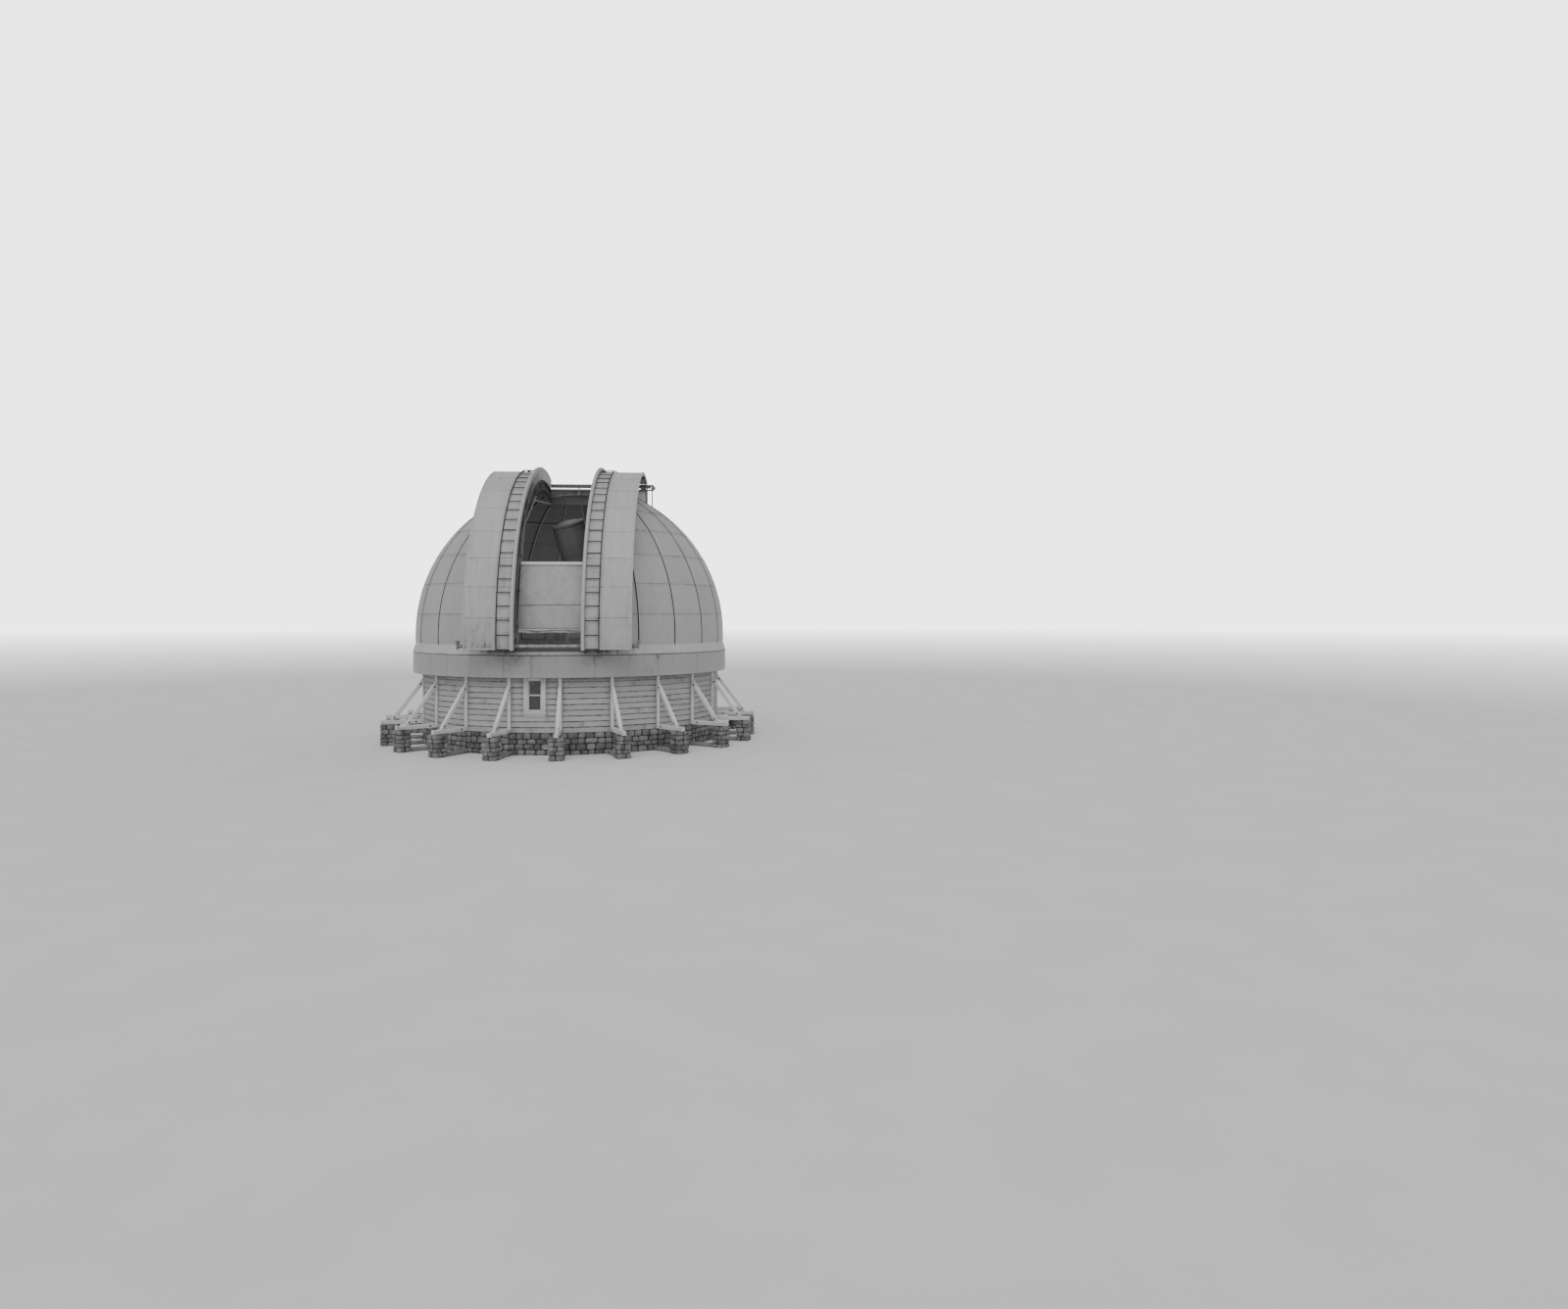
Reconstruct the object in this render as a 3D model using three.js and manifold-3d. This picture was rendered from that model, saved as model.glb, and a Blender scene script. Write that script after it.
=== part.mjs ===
// A small rotating observatory dome on a low round timber wall.
//
// The wall has twenty flat bays of weatherboard on a stone footing. A raking timber brace stands at each corner,
// with its foot on an outrigger that reaches a stone pier. On the wall lies a ring rail, and on the rail the dome
// turns on wheels. The dome has a parallel slit from its base to just past the top. Two curved shutters slide
// apart over the slit on a straight track at the bottom and another at the top, and a canvas wind screen rides
// in the slit.
//
// Millimetres, +Z up. The origin is on the ground at the centre, and the slit faces -Y.
// An azimuth is in degrees from -Y towards +X. A slit angle is in degrees up from -Y, about the dome's centre.

import * as THREE from "three";
import { mergeVertices } from "three/addons/utils/BufferGeometryUtils.js";
import Module from "manifold-3d";

const wasm = await Module();
wasm.setup();

// Driving dimensions

const GAP = 0.3; // between faces that touch
const RUN = 6; // between a piece that moves and what it passes
const SEAT = 0.8; // between a wheel, shoe or runner and what it rides on

const BAYS = 20;
const BAY_ANGLE = 360 / BAYS;
const FIRST_POST = 3.2; // azimuth of the corner post nearest the slit
const SIDES = ["front", "right", "rear", "left"];
const BAYS_PER_SIDE = BAYS / SIDES.length;

const FOOTING_TOP = 600;
const FOOTING = { inner: 4230, outer: 4450 };
const PIER = { inner: 5200, outer: 5600, halfWidth: 200 };
const STRIP = { halfWidth: 130, height: 100 };
const FLOOR = { bottom: 480, top: 580 };

const WALL = { inner: 4290, outer: 4390, bottom: FOOTING_TOP, top: 2270 };
const WINDOW = { halfWidth: 180, bottom: 1170, top: 2016, casing: 122, sash: 26, meeting: 1600 };

const PLATE = { inner: 4280, outer: 4440, top: 2330 };
const SILL = { halfWidth: 55, depth: 120, end: 5580 };
const POST = { halfWidth: 46, face: 4440 };
const STRUT = { section: 95, head: 1820, foot: 5280 };

const RAIL = { inner: 4310, outer: 4370, height: 34 };

const CENTRE_Z = 3190; // the dome's centre, above the ground
const DOME_R = 4600;
const SHELL = 50;
const DOME_SEGMENTS = 48;
const GORE_ANGLE = 60;
const ARC_STEP = 6; // degrees between corners along the slit
const CURB = { inner: 4280, bottom: 2680, top: 2900 };
const WHEEL = { radius: 110, inner: 4310, outer: 4370, count: 12 };
const SKIRT = { outer: 4686, thickness: 30, bottom: 2080, top: 2690, flashing: 4625 };

const SLIT_HALF = 860;
const SLIT_REAR = 1300; // how far past the top the slit runs
const JAMB = { width: 60, inner: 4400, outer: 4660, end: 106.1 };
// The jamb's straight inner edges, by how far forward and how high above the dome's centre they turn
const JAMB_TURNS = [
  [4400, -290],
  [4400, 300],
  [3900, 2040],
  [3370, 3060],
  [1824, 3894],
];
const TIE = { front: [1830, 3880], rear: [-1200, 4080], depth: 50, hangers: [900, -60, -1140] };
const HEADER = { front: 1120, low: 4080, high: 4335 };

const SHUTTER = { inner: 870, outer: 2190, radius: 4960, thickness: 30, bottom: -355, rearAngle: 104.3 };
const CHEEK = { thickness: 25, radius: 4700 };
const LIP = { width: 100, radius: 5085 };
const SHUTTER_FLANGE = { thickness: 20, radius: 4840 };
const LADDER = { rail: 1345, railWidth: 25, proud: 40, rung: 22, first: 0.5, step: 4.33, rungs: 24 };
const CARRIAGES = [1010, 2060]; // how far the shutters' wheels are from the slit's middle
const CARRIAGE_HALF = 90;

const TOP_TRACK = { half: 2380, front: 1290, back: 1335, low: [4560, 4610], high: [4700, 4765] };
const TOP_TRACK_BLOCKS = [0, 1120]; // spacers between its two bars, clear of the wheels
const TRACK_LEGS = [2175, 2335];
const APRON_HALF = 2154.7;
const LOW_TRACK = { half: 2370, front: 4850, back: 4780, bottom: -300, top: -205 };
const LOW_TRACK_BRACKETS = [1100, 1650, 2200];

const SCREEN = { half: 850, inner: 4430, outer: 4480, bottom: 2.6, top: 26.5, middle: 10.7 };
const RUNNER_ANGLES = [3.2, 24];
const CANVAS = { thickness: 14, bottom: 2.9, top: 25.2 };

// The telescope: its tube's upper end and middle, the mount's head and the pier under it
const TUBE = { radius: 480, rim: 500, band: 90, half: 1850, middle: [375, -231, 4800], lean: 15.2, tip: 11.5 };
const AXIS = { radius: 130, reach: 1250, weight: 330, weightLength: 300 };
const HEAD = { width: 420, height: 520 };
const TELESCOPE_PIER = { foot: 620, head: 430, top: 3700 };

// Materials

const paint = (color) => new THREE.MeshStandardMaterial({ color, roughness: 0.6, metalness: 0.0 });
const sheetPaint = new THREE.MeshStandardMaterial({ color: 0xa3a3a1, roughness: 0.5, metalness: 0.2 });
const wallPaint = paint(0xb4b4b0);
const trimPaint = paint(0xcfcfca);
const darkTimber = new THREE.MeshStandardMaterial({ color: 0x4c4640, roughness: 0.8, metalness: 0.0 });
const floorTimber = new THREE.MeshStandardMaterial({ color: 0x6e6357, roughness: 0.8, metalness: 0.0 });
const stone = new THREE.MeshStandardMaterial({ color: 0x8b867d, roughness: 0.95, metalness: 0.0 });
const steel = new THREE.MeshStandardMaterial({ color: 0x3f4143, roughness: 0.5, metalness: 0.8 });
const canvas = new THREE.MeshStandardMaterial({ color: 0xa9a7a0, roughness: 0.9, metalness: 0.0 });
const glass = new THREE.MeshStandardMaterial({ color: 0x30363a, roughness: 0.1, metalness: 0.0 });

// Solids and meshes

const radians = THREE.MathUtils.degToRad;
const degrees = THREE.MathUtils.radToDeg;

function solidOf(geometry) {
  const bare = new THREE.BufferGeometry();
  bare.setAttribute("position", geometry.getAttribute("position"));
  if (geometry.index) bare.setIndex(geometry.index);
  const merged = mergeVertices(bare, 1e-3);
  return new wasm.Manifold(
    new wasm.Mesh({
      numProp: 3,
      vertProperties: merged.attributes.position.array,
      triVerts: new Uint32Array(merged.index.array),
    }),
  );
}

function geometryOf(solid) {
  const mesh = solid.getMesh();
  const geometry = new THREE.BufferGeometry();
  geometry.setAttribute("position", new THREE.BufferAttribute(new Float32Array(mesh.vertProperties), 3));
  geometry.setIndex(new THREE.BufferAttribute(new Uint32Array(mesh.triVerts), 1));
  geometry.computeVertexNormals();
  return geometry;
}

const joined = (solids) => solids.reduce((whole, solid) => whole.add(solid));

function block([x0, x1], [y0, y1], [z0, z1]) {
  const box = new THREE.BoxGeometry(x1 - x0, y1 - y0, z1 - z0);
  box.translate((x0 + x1) / 2, (y0 + y1) / 2, (z0 + z1) / 2);
  return solidOf(box);
}

// A round bar along Y, from y0 to y1, about the point x, z. Its flats are at the radius, above and below.
function barAlongY(radius, x, z, [y0, y1], sides = 12) {
  const corner = radius / Math.cos(Math.PI / sides);
  const bar = new THREE.CylinderGeometry(corner, corner, y1 - y0, sides);
  return solidOf(bar.rotateY(Math.PI / sides).translate(x, (y0 + y1) / 2, z));
}

// A profile of [radius, height] points turned about Z. It runs upwards on its outer side.
function turned(profile, segments = DOME_SEGMENTS) {
  const points = profile.map(([r, z]) => new THREE.Vector2(r, z));
  return solidOf(new THREE.LatheGeometry(points, segments).rotateX(Math.PI / 2));
}

const closed = (profile) => [...profile, profile[0]];

// A plan outline of [x, y] points, raised from z0 to z1.
function raised(outline, z0, z1) {
  const shape = new THREE.Shape(outline.map(([x, y]) => new THREE.Vector2(x, y)));
  return solidOf(new THREE.ExtrudeGeometry(shape, { depth: z1 - z0, bevelEnabled: false }).translate(0, 0, z0));
}

const onPlan = (radius, azimuth) => [radius * Math.sin(radians(azimuth)), -radius * Math.cos(radians(azimuth))];

// A side view of the slit, drawn with forward as its first axis and up as its second, spread from x0 to x1.
function acrossSlit(shape, [x0, x1]) {
  const geometry = new THREE.ExtrudeGeometry(shape, { depth: x1 - x0, bevelEnabled: false });
  const turn = new THREE.Matrix4().makeBasis(
    new THREE.Vector3(0, -1, 0),
    new THREE.Vector3(0, 0, 1),
    new THREE.Vector3(-1, 0, 0),
  );
  return solidOf(geometry.applyMatrix4(turn).translate(x1, 0, CENTRE_Z));
}

// Points on an arc, at its ends and at each even step between them, so that arcs side by side share their corners.
function arc(radius, a0, a1, step = ARC_STEP) {
  const angles = [a0];
  for (let a = Math.ceil((a0 + 0.05) / step) * step; a < a1 - 0.05; a += step) angles.push(a);
  angles.push(a1);
  return angles.map((a) => new THREE.Vector2(radius * Math.cos(radians(a)), radius * Math.sin(radians(a))));
}

// A band between two radii and two slit angles.
function band(r0, r1, a0, a1, span) {
  return acrossSlit(new THREE.Shape([...arc(r1, a0, a1), ...arc(r0, a0, a1).reverse()]), span);
}

// The span a to b on the right of the slit, or its mirror on the left.
const spanOn = (side, a, b) => (side > 0 ? [a, b] : [-b, -a]);

const rise = (z) => CENTRE_Z + z;

const observatory = new THREE.Group();

function add(name, solid, material, azimuth = 0, parent = observatory) {
  const mesh = new THREE.Mesh(geometryOf(solid), material);
  mesh.name = name;
  mesh.rotation.z = radians(azimuth);
  parent.add(mesh);
}

// The stone footing: a low ring under the wall, with a strip out to a pier under each outrigger

const base = new THREE.Group();
observatory.add(base);

function footing(firstPost) {
  const half = BAY_ANGLE / 2;
  const hair = degrees(GAP / 2 / FOOTING.outer);
  const start = firstPost - half + hair;
  const end = firstPost + (BAYS_PER_SIDE - 1) * BAY_ANGLE + half - hair;
  const corners = Array.from({ length: BAYS_PER_SIDE }, (_, i) => firstPost + i * BAY_ANGLE);
  const flat = Math.cos(radians(half));
  const edge = (r) => [onPlan(r * flat, start), ...corners.map((a) => onPlan(r, a)), onPlan(r * flat, end)];
  const ring = raised([...edge(FOOTING.outer), ...edge(FOOTING.inner).reverse()], 0, FOOTING_TOP - GAP);
  const strip = block([-STRIP.halfWidth, STRIP.halfWidth], [-PIER.inner - 1, -FOOTING.outer + 60], [0, STRIP.height]);
  const pier = block([-PIER.halfWidth, PIER.halfWidth], [-PIER.outer, -PIER.inner], [0, FOOTING_TOP - GAP]);
  const spur = strip.add(pier);
  return joined([ring, ...corners.map((a) => spur.rotate([0, 0, a]))]);
}

const middleOfTube = new THREE.Vector3(...TUBE.middle);
const crossAxis = new THREE.Vector3(Math.cos(radians(TUBE.lean)), 0, Math.sin(radians(TUBE.lean)));
const headAt = middleOfTube.clone().addScaledVector(crossAxis, -(TUBE.radius + HEAD.width));
const PIER_AT = [headAt.x, headAt.y, 0];

const postAzimuth = (i) => FIRST_POST + i * BAY_ANGLE;

SIDES.forEach((side, i) => {
  add(`stone_footing_${side}`, footing(postAzimuth(i * BAYS_PER_SIDE - 2)), stone, 0, base);
});

const flatPolygon = (r) => Array.from({ length: BAYS }, (_, i) => onPlan(r, postAzimuth(i)));
const floorBoards = raised(flatPolygon(FOOTING.inner - GAP), FLOOR.bottom, FLOOR.top);
const pierTaper = (TELESCOPE_PIER.foot - TELESCOPE_PIER.head) / TELESCOPE_PIER.top;
const pierHole = (TELESCOPE_PIER.foot - pierTaper * FLOOR.bottom) * Math.SQRT1_2 + GAP;
const floorHole = block([-pierHole, pierHole], [-pierHole, pierHole], [FLOOR.bottom - 1, FLOOR.top + 1]);
add("timber_floor", floorBoards.subtract(floorHole.translate(PIER_AT)), floorTimber, 0, base);

// The wall: four sides of five flat bays, with a window in the middle bay of the front and of the rear

const WINDOW_AZIMUTH = FIRST_POST - BAY_ANGLE / 2;
const wallFace = WALL.outer * Math.cos(radians(BAY_ANGLE / 2));

function wallSide(firstPost, windowed) {
  const hair = degrees(GAP / 2 / WALL.outer);
  const corners = Array.from({ length: BAYS_PER_SIDE + 1 }, (_, i) => firstPost + i * BAY_ANGLE);
  corners[0] += hair;
  corners[BAYS_PER_SIDE] -= hair;
  const outline = [
    ...corners.map((a) => onPlan(WALL.outer, a)),
    ...corners.map((a) => onPlan(WALL.inner, a)).reverse(),
  ];
  const wall = raised(outline, WALL.bottom, WALL.top);
  if (!windowed) return wall;
  const middle = firstPost + (BAYS_PER_SIDE * BAY_ANGLE) / 2;
  const opening = block(
    [-WINDOW.halfWidth, WINDOW.halfWidth],
    [-WALL.outer - 10, -WALL.inner + 100],
    [WINDOW.bottom, WINDOW.top],
  );
  return wall.subtract(opening.rotate([0, 0, middle]));
}

SIDES.forEach((side, i) => {
  const firstPost = postAzimuth(i * BAYS_PER_SIDE - 3);
  add(`wall_${side}`, wallSide(firstPost, side === "front" || side === "rear"), wallPaint, 0, base);
});

function windowFrame() {
  const { halfWidth, bottom, top, casing, sash, meeting } = WINDOW;
  const inside = halfWidth - GAP;
  const face = [-wallFace - 40, -wallFace - GAP];
  const reveal = [-wallFace - 20, -wallFace + 45 - GAP];
  const outer = halfWidth + casing;
  const lap = halfWidth - 14;
  const sides = [-1, 1].flatMap((s) => [
    block(spanOn(s, lap, outer), face, [bottom - 30, top + 150]),
    block(spanOn(s, inside - sash, inside), reveal, [bottom + GAP, top - GAP]),
  ]);
  const rails = [
    block([-outer - 14, outer + 14], [face[0] - 26, face[1]], [bottom - 137, bottom - 29]),
    block([-lap - 1, lap + 1], face, [bottom - 30, bottom + 14]),
    block([-lap - 1, lap + 1], face, [top - 14, top + 150]),
    block([-inside, inside], reveal, [bottom + GAP, bottom + sash + 16]),
    block([-inside, inside], reveal, [top - sash, top - GAP]),
    block([-inside, inside], reveal, [meeting - 14, meeting + 14]),
  ];
  return joined([...sides, ...rails]);
}

function windowGlass(frame) {
  const inside = WINDOW.halfWidth - 12;
  const pane = block([-inside, inside], [-wallFace + 45, -wallFace + 51], [WINDOW.bottom + 12, WINDOW.top - 12]);
  return pane.subtract(grown(frame));
}

// The same solid, moved a hair each way and joined, for cutting a neighbour clear of it.
function grown(solid) {
  const steps = [-GAP, GAP];
  return joined([
    ...steps.map((d) => solid.translate([d, 0, 0])),
    ...steps.map((d) => solid.translate([0, d, 0])),
    ...steps.map((d) => solid.translate([0, 0, d])),
  ]);
}

const frame = windowFrame();
[
  ["front", WINDOW_AZIMUTH],
  ["rear", WINDOW_AZIMUTH + 180],
].forEach(([side, azimuth]) => {
  add(`window_frame_${side}`, frame, trimPaint, azimuth, base);
  add(`window_glass_${side}`, windowGlass(frame), glass, azimuth, base);
});

// The braced timber frame: corner posts, each with an outrigger and a raking strut, under a plate on the wall

function brace() {
  const sillTop = FOOTING_TOP + SILL.depth;
  const sill = block(
    [-SILL.halfWidth, SILL.halfWidth],
    [-SILL.end, -WALL.outer - 0.5],
    [FOOTING_TOP, sillTop],
  );
  const posts = [-POST.halfWidth, POST.halfWidth];
  const post = block(posts, [-POST.face, -WALL.outer - 0.5], [sillTop - 1, PLATE.top - 10]);
  const run = STRUT.foot - POST.face;
  const drop = STRUT.head - sillTop;
  const length = Math.hypot(run, drop) + 400;
  const bar = new THREE.BoxGeometry(STRUT.section, STRUT.section, length);
  bar.rotateX(-Math.atan2(run, drop));
  bar.translate(0, -(STRUT.foot + POST.face) / 2, (STRUT.head + sillTop) / 2);
  const room = block([-100, 100], [-STRUT.foot - 90, -WALL.outer - 6], [sillTop - 20, STRUT.head + 60]);
  return joined([sill, post, solidOf(bar).intersect(room)]);
}

function plate(firstPost) {
  const half = BAY_ANGLE / 2;
  const hair = degrees(GAP / 2 / PLATE.outer);
  const start = firstPost - half + hair;
  const end = firstPost + (BAYS_PER_SIDE - 1) * BAY_ANGLE + half - hair;
  const corners = Array.from({ length: BAYS_PER_SIDE }, (_, i) => firstPost + i * BAY_ANGLE);
  const flat = Math.cos(radians(half));
  const edge = (r) => [onPlan(r * flat, start), ...corners.map((a) => onPlan(r, a)), onPlan(r * flat, end)];
  return raised([...edge(PLATE.outer), ...edge(PLATE.inner).reverse()], WALL.top + GAP, PLATE.top);
}

SIDES.forEach((side, i) => {
  const firstPost = postAzimuth(i * BAYS_PER_SIDE - 2);
  const braces = Array.from({ length: BAYS_PER_SIDE }, (_, k) => brace().rotate([0, 0, firstPost + k * BAY_ANGLE]));
  add(`timber_frame_${side}`, joined([plate(firstPost), ...braces]), trimPaint, 0, base);
});

// The telescope on its pier: a tube to one side of the mount's head, and a counterweight on the other

const pier = turned(
  [
    [0, 0],
    [TELESCOPE_PIER.foot, 0],
    [TELESCOPE_PIER.head, TELESCOPE_PIER.top],
    [0, TELESCOPE_PIER.top],
  ],
  4,
).rotate([0, 0, 45]);
add("telescope_pier", pier.translate(PIER_AT), stone, 0, base);

// A round bar along a line, from a to b past the point at.
function barAlong(radius, at, direction, a, b, sides = 20) {
  const bar = new THREE.CylinderGeometry(radius, radius, b - a, sides).translate(0, (a + b) / 2, 0);
  const turn = new THREE.Quaternion().setFromUnitVectors(new THREE.Vector3(0, 1, 0), direction);
  return solidOf(bar.applyQuaternion(turn).translate(at.x, at.y, at.z));
}

const tube = turned(
  [
    [0, -TUBE.half],
    [TUBE.rim, -TUBE.half],
    [TUBE.rim, -TUBE.half + TUBE.band],
    [TUBE.radius, -TUBE.half + TUBE.band],
    [TUBE.radius, TUBE.half - TUBE.band],
    [TUBE.rim, TUBE.half - TUBE.band],
    [TUBE.rim, TUBE.half],
    [0, TUBE.half],
  ],
  20,
).rotate([TUBE.tip, -TUBE.lean, 0]);
add("telescope_tube", tube.translate(TUBE.middle), sheetPaint, 0, base);

function mountHead() {
  const { width, height } = HEAD;
  const box = block([-width / 2, width / 2], [-width / 2, width / 2], [-height / 2, height / 2]);
  const neck = block([-150, 150], [-150, 150], [TELESCOPE_PIER.top + GAP - headAt.z, 0]);
  const plinth = block([-280, 280], [-280, 280], [TELESCOPE_PIER.top + GAP - headAt.z, TELESCOPE_PIER.top + 120 - headAt.z]);
  const axis = barAlong(AXIS.radius, headAt, crossAxis, -AXIS.reach, HEAD.width);
  const weight = barAlong(AXIS.weight, headAt, crossAxis, -AXIS.reach, -AXIS.reach + AXIS.weightLength);
  const body = joined([box, neck, plinth]).translate([headAt.x, headAt.y, headAt.z]);
  return joined([body, axis, weight]);
}
add("telescope_mount", mountHead(), steel, 0, base);

// The ring rail on the plate

const railBed = PLATE.top + GAP;
const railTop = railBed + RAIL.height;
const ringRail = turned(
  closed([
    [RAIL.inner, railBed],
    [RAIL.outer, railBed],
    [RAIL.outer, railTop],
    [RAIL.inner, railTop],
  ]),
  2 * BAYS,
);
add("ring_rail", ringRail, steel, 0, base);

// The dome's curb, with the wheels it rolls on, and the skirt that hangs over the wall

const dome = new THREE.Group();
observatory.add(dome);

function curbWithWheels() {
  const ring = turned(
    closed([
      [CURB.inner, CURB.bottom],
      [DOME_R, CURB.bottom],
      [DOME_R, CURB.top],
      [CURB.inner, CURB.top],
    ]),
  );
  const axle = railTop + SEAT + WHEEL.radius;
  const wheel = barAlongY(WHEEL.radius, 0, axle, [-WHEEL.outer, -WHEEL.inner], 14);
  const fork = block([-60, 60], [-WHEEL.outer - 20, -WHEEL.inner + 20], [axle + 40, CURB.bottom + 5]);
  const truck = wheel.add(fork);
  const step = 360 / WHEEL.count;
  const trucks = Array.from({ length: WHEEL.count }, (_, i) => truck.rotate([0, 0, (i + 0.5) * step]));
  return joined([ring, ...trucks]);
}
add("dome_curb", curbWithWheels(), darkTimber, 0, dome);

const skirtSide = [
  [SKIRT.outer, SKIRT.bottom],
  [SKIRT.outer, SKIRT.top],
  [SKIRT.flashing, CURB.top],
];
const skirt = turned(
  closed([
    [SKIRT.outer - SKIRT.thickness, SKIRT.bottom],
    ...skirtSide,
    [DOME_R + GAP, CURB.top],
    [DOME_R + GAP, CURB.top - 80],
    [SKIRT.outer - SKIRT.thickness, SKIRT.top],
  ]),
);
add("dome_skirt", skirt, sheetPaint, 0, dome);

// The dome's shell, in six gores, cut by the slit

const LATITUDES = Array.from({ length: 13 }, (_, i) => i * 7.5);
const meridian = (r) => LATITUDES.map((a) => [r * Math.cos(radians(a)), rise(r * Math.sin(radians(a)))]);

function onAxis(points) {
  points[points.length - 1][0] = 0;
  return points;
}

const shellFoot = CURB.top + GAP;
const shell = turned([
  ...onAxis(meridian(DOME_R - SHELL)).reverse(),
  [DOME_R - SHELL, shellFoot],
  [DOME_R, shellFoot],
  ...onAxis(meridian(DOME_R)),
]);

// The whole dome as one mass, a hair bigger, for cutting what stands on it.
const domeMass = turned([
  [0, SKIRT.bottom],
  ...skirtSide.map(([r, z]) => [r + GAP, z]),
  [DOME_R + GAP, CURB.top],
  ...onAxis(meridian(DOME_R + GAP)),
]);

const slitEdge = SLIT_HALF + JAMB.width + GAP;
const slitCut = block([-slitEdge, slitEdge], [-DOME_R - 100, SLIT_REAR], [CURB.top - 10, rise(DOME_R + 100)]);

function wedge(a0, a1) {
  const middle = (a0 + a1) / 2;
  const apex = onPlan(GAP / 2 / Math.sin(radians((a1 - a0) / 2)), middle);
  const far = (a) => onPlan(2 * DOME_R, a).map((v, i) => v + apex[i]);
  return raised([apex, far(a0), far(middle), far(a1)], CURB.bottom, rise(2 * DOME_R));
}

[
  ["right_front", 0],
  ["right_side", 1],
  ["right_rear", 2],
  ["left_rear", 3],
  ["left_side", 4],
  ["left_front", 5],
].forEach(([place, i]) => {
  const gore = shell.intersect(wedge(i * GORE_ANGLE, (i + 1) * GORE_ANGLE)).subtract(slitCut);
  add(`shell_${place}`, gore, sheetPaint, 0, dome);
});

// The slit's frame: an arched jamb each side with a level tie near the top, a header and a sill

function jamb(side) {
  const { inner, outer, end, width } = JAMB;
  const foot = shellFoot - CENTRE_Z;
  const span = spanOn(side, SLIT_HALF, SLIT_HALF + width);
  const turns = JAMB_TURNS.map(([forward, up]) => new THREE.Vector2(forward, Math.max(up, foot)));
  const outline = [new THREE.Vector2(outer, foot), ...arc(outer, 0, end), ...arc(inner, 72, end).reverse()];
  const arch = acrossSlit(new THREE.Shape([...outline, ...turns.reverse()]), span);
  const [front, rear] = [TIE.front, TIE.rear];
  const tieCorners = [rear, front, [front[0], front[1] + TIE.depth], [rear[0], rear[1] + TIE.depth]];
  const tie = acrossSlit(new THREE.Shape(tieCorners.map(([f, up]) => new THREE.Vector2(f, up))), span);
  const hangers = TIE.hangers.map((f) => {
    const level = front[1] + ((front[0] - f) / (front[0] - rear[0])) * (rear[1] - front[1]);
    const top = Math.sqrt(inner ** 2 - f ** 2) + 30;
    return block(span, [-f, -f + 60], [rise(level + 10), rise(top)]);
  });
  return joined([arch, tie, ...hangers]);
}
add("slit_jamb_right", jamb(1), trimPaint, 0, dome);
add("slit_jamb_left", jamb(-1), trimPaint, 0, dome);

const inSlit = [-SLIT_HALF + GAP, SLIT_HALF - GAP];
const SILL_FRONT = 4540;
const headerDepth = [HEADER.front, SLIT_REAR - GAP];
add("slit_header", block(inSlit, headerDepth, [rise(HEADER.low), rise(HEADER.high)]), darkTimber, 0, dome);

const sillBar = solidOf(
  new THREE.CylinderGeometry(42, 42, 2 * (SLIT_HALF - GAP), 16)
    .rotateZ(Math.PI / 2)
    .translate(0, -SILL_FRONT + 50, shellFoot + 46),
);
const sillBoard = block(inSlit, [-SILL_FRONT, -JAMB.inner], [shellFoot, shellFoot + 45]);
add("slit_sill", sillBoard.add(sillBar), trimPaint, 0, dome);

// The top track behind the slit, on legs, with an apron under it down to the shell

function topTrack() {
  const { half, front, back, low, high } = TOP_TRACK;
  const depth = [front, back];
  const bars = [low, high].map((z) => block([-half, half], depth, z.map(rise)));
  const inner = TOP_TRACK_BLOCKS.flatMap((x) => [x, -x]);
  const blocks = [...new Set(inner)].map((x) =>
    block([x - 20, x + 20], depth, [rise(low[1] - 5), rise(high[0] + 5)]),
  );
  const legs = TRACK_LEGS.flatMap((x) => [x, -x]).map((x) =>
    block([x - 20, x + 20], depth, [rise(3400), rise(high[0] + 5)]).subtract(domeMass),
  );
  const pulleys = [-1, 1].map((s) =>
    barAlongY(70, s * (half - 10), rise((low[1] + high[0]) / 2), [front - 15, back + 15]),
  );
  return joined([...bars, ...blocks, ...legs, ...pulleys]);
}
add("top_track", topTrack(), steel, 0, dome);

const apronTop = rise(TOP_TRACK.low[0]) - GAP;
const apron = block([-APRON_HALF, APRON_HALF], [SLIT_REAR + 2, SLIT_REAR + 22], [rise(3000), apronTop]);
add("rear_apron", apron.subtract(domeMass), sheetPaint, 0, dome);

// The bottom track across the front, on a shelf that reaches back to the skirt

function lowTrack() {
  const { half, front, back, bottom, top } = LOW_TRACK;
  const rail = block([-half, half], [-front, -back], [rise(bottom), rise(top)]);
  const brackets = LOW_TRACK_BRACKETS.flatMap((x) => [x, -x]).map((x) =>
    block([x - 30, x + 30], [-front + 5, -3600], [rise(bottom - 35), rise(bottom + 1)]).subtract(domeMass),
  );
  const ends = [-1, 1].flatMap((s) => [
    block(spanOn(s, half - 40, half + 5), [-front - 1, -back + 30], [rise(bottom - 35), rise(top + 70)]),
    barAlongY(48, s * (half - 10), rise(top + 60), [-front - 20, -back + 40]),
  ]);
  return joined([rail, ...brackets, ...ends]);
}
add("bottom_track", lowTrack(), trimPaint, 0, dome);

// The shutters: a curved panel, a deep cheek with a raised lip on its inner edge, and a ladder beside the lip

const shutterStart = degrees(Math.asin(SHUTTER.bottom / SHUTTER.radius));

// The room that the bottom track takes up behind the shutters' lower ends.
const trackRoom = block([-3000, 3000], [-LOW_TRACK.front - 2 * RUN, -3600], [CURB.bottom, rise(LOW_TRACK.top) + RUN]);

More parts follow.
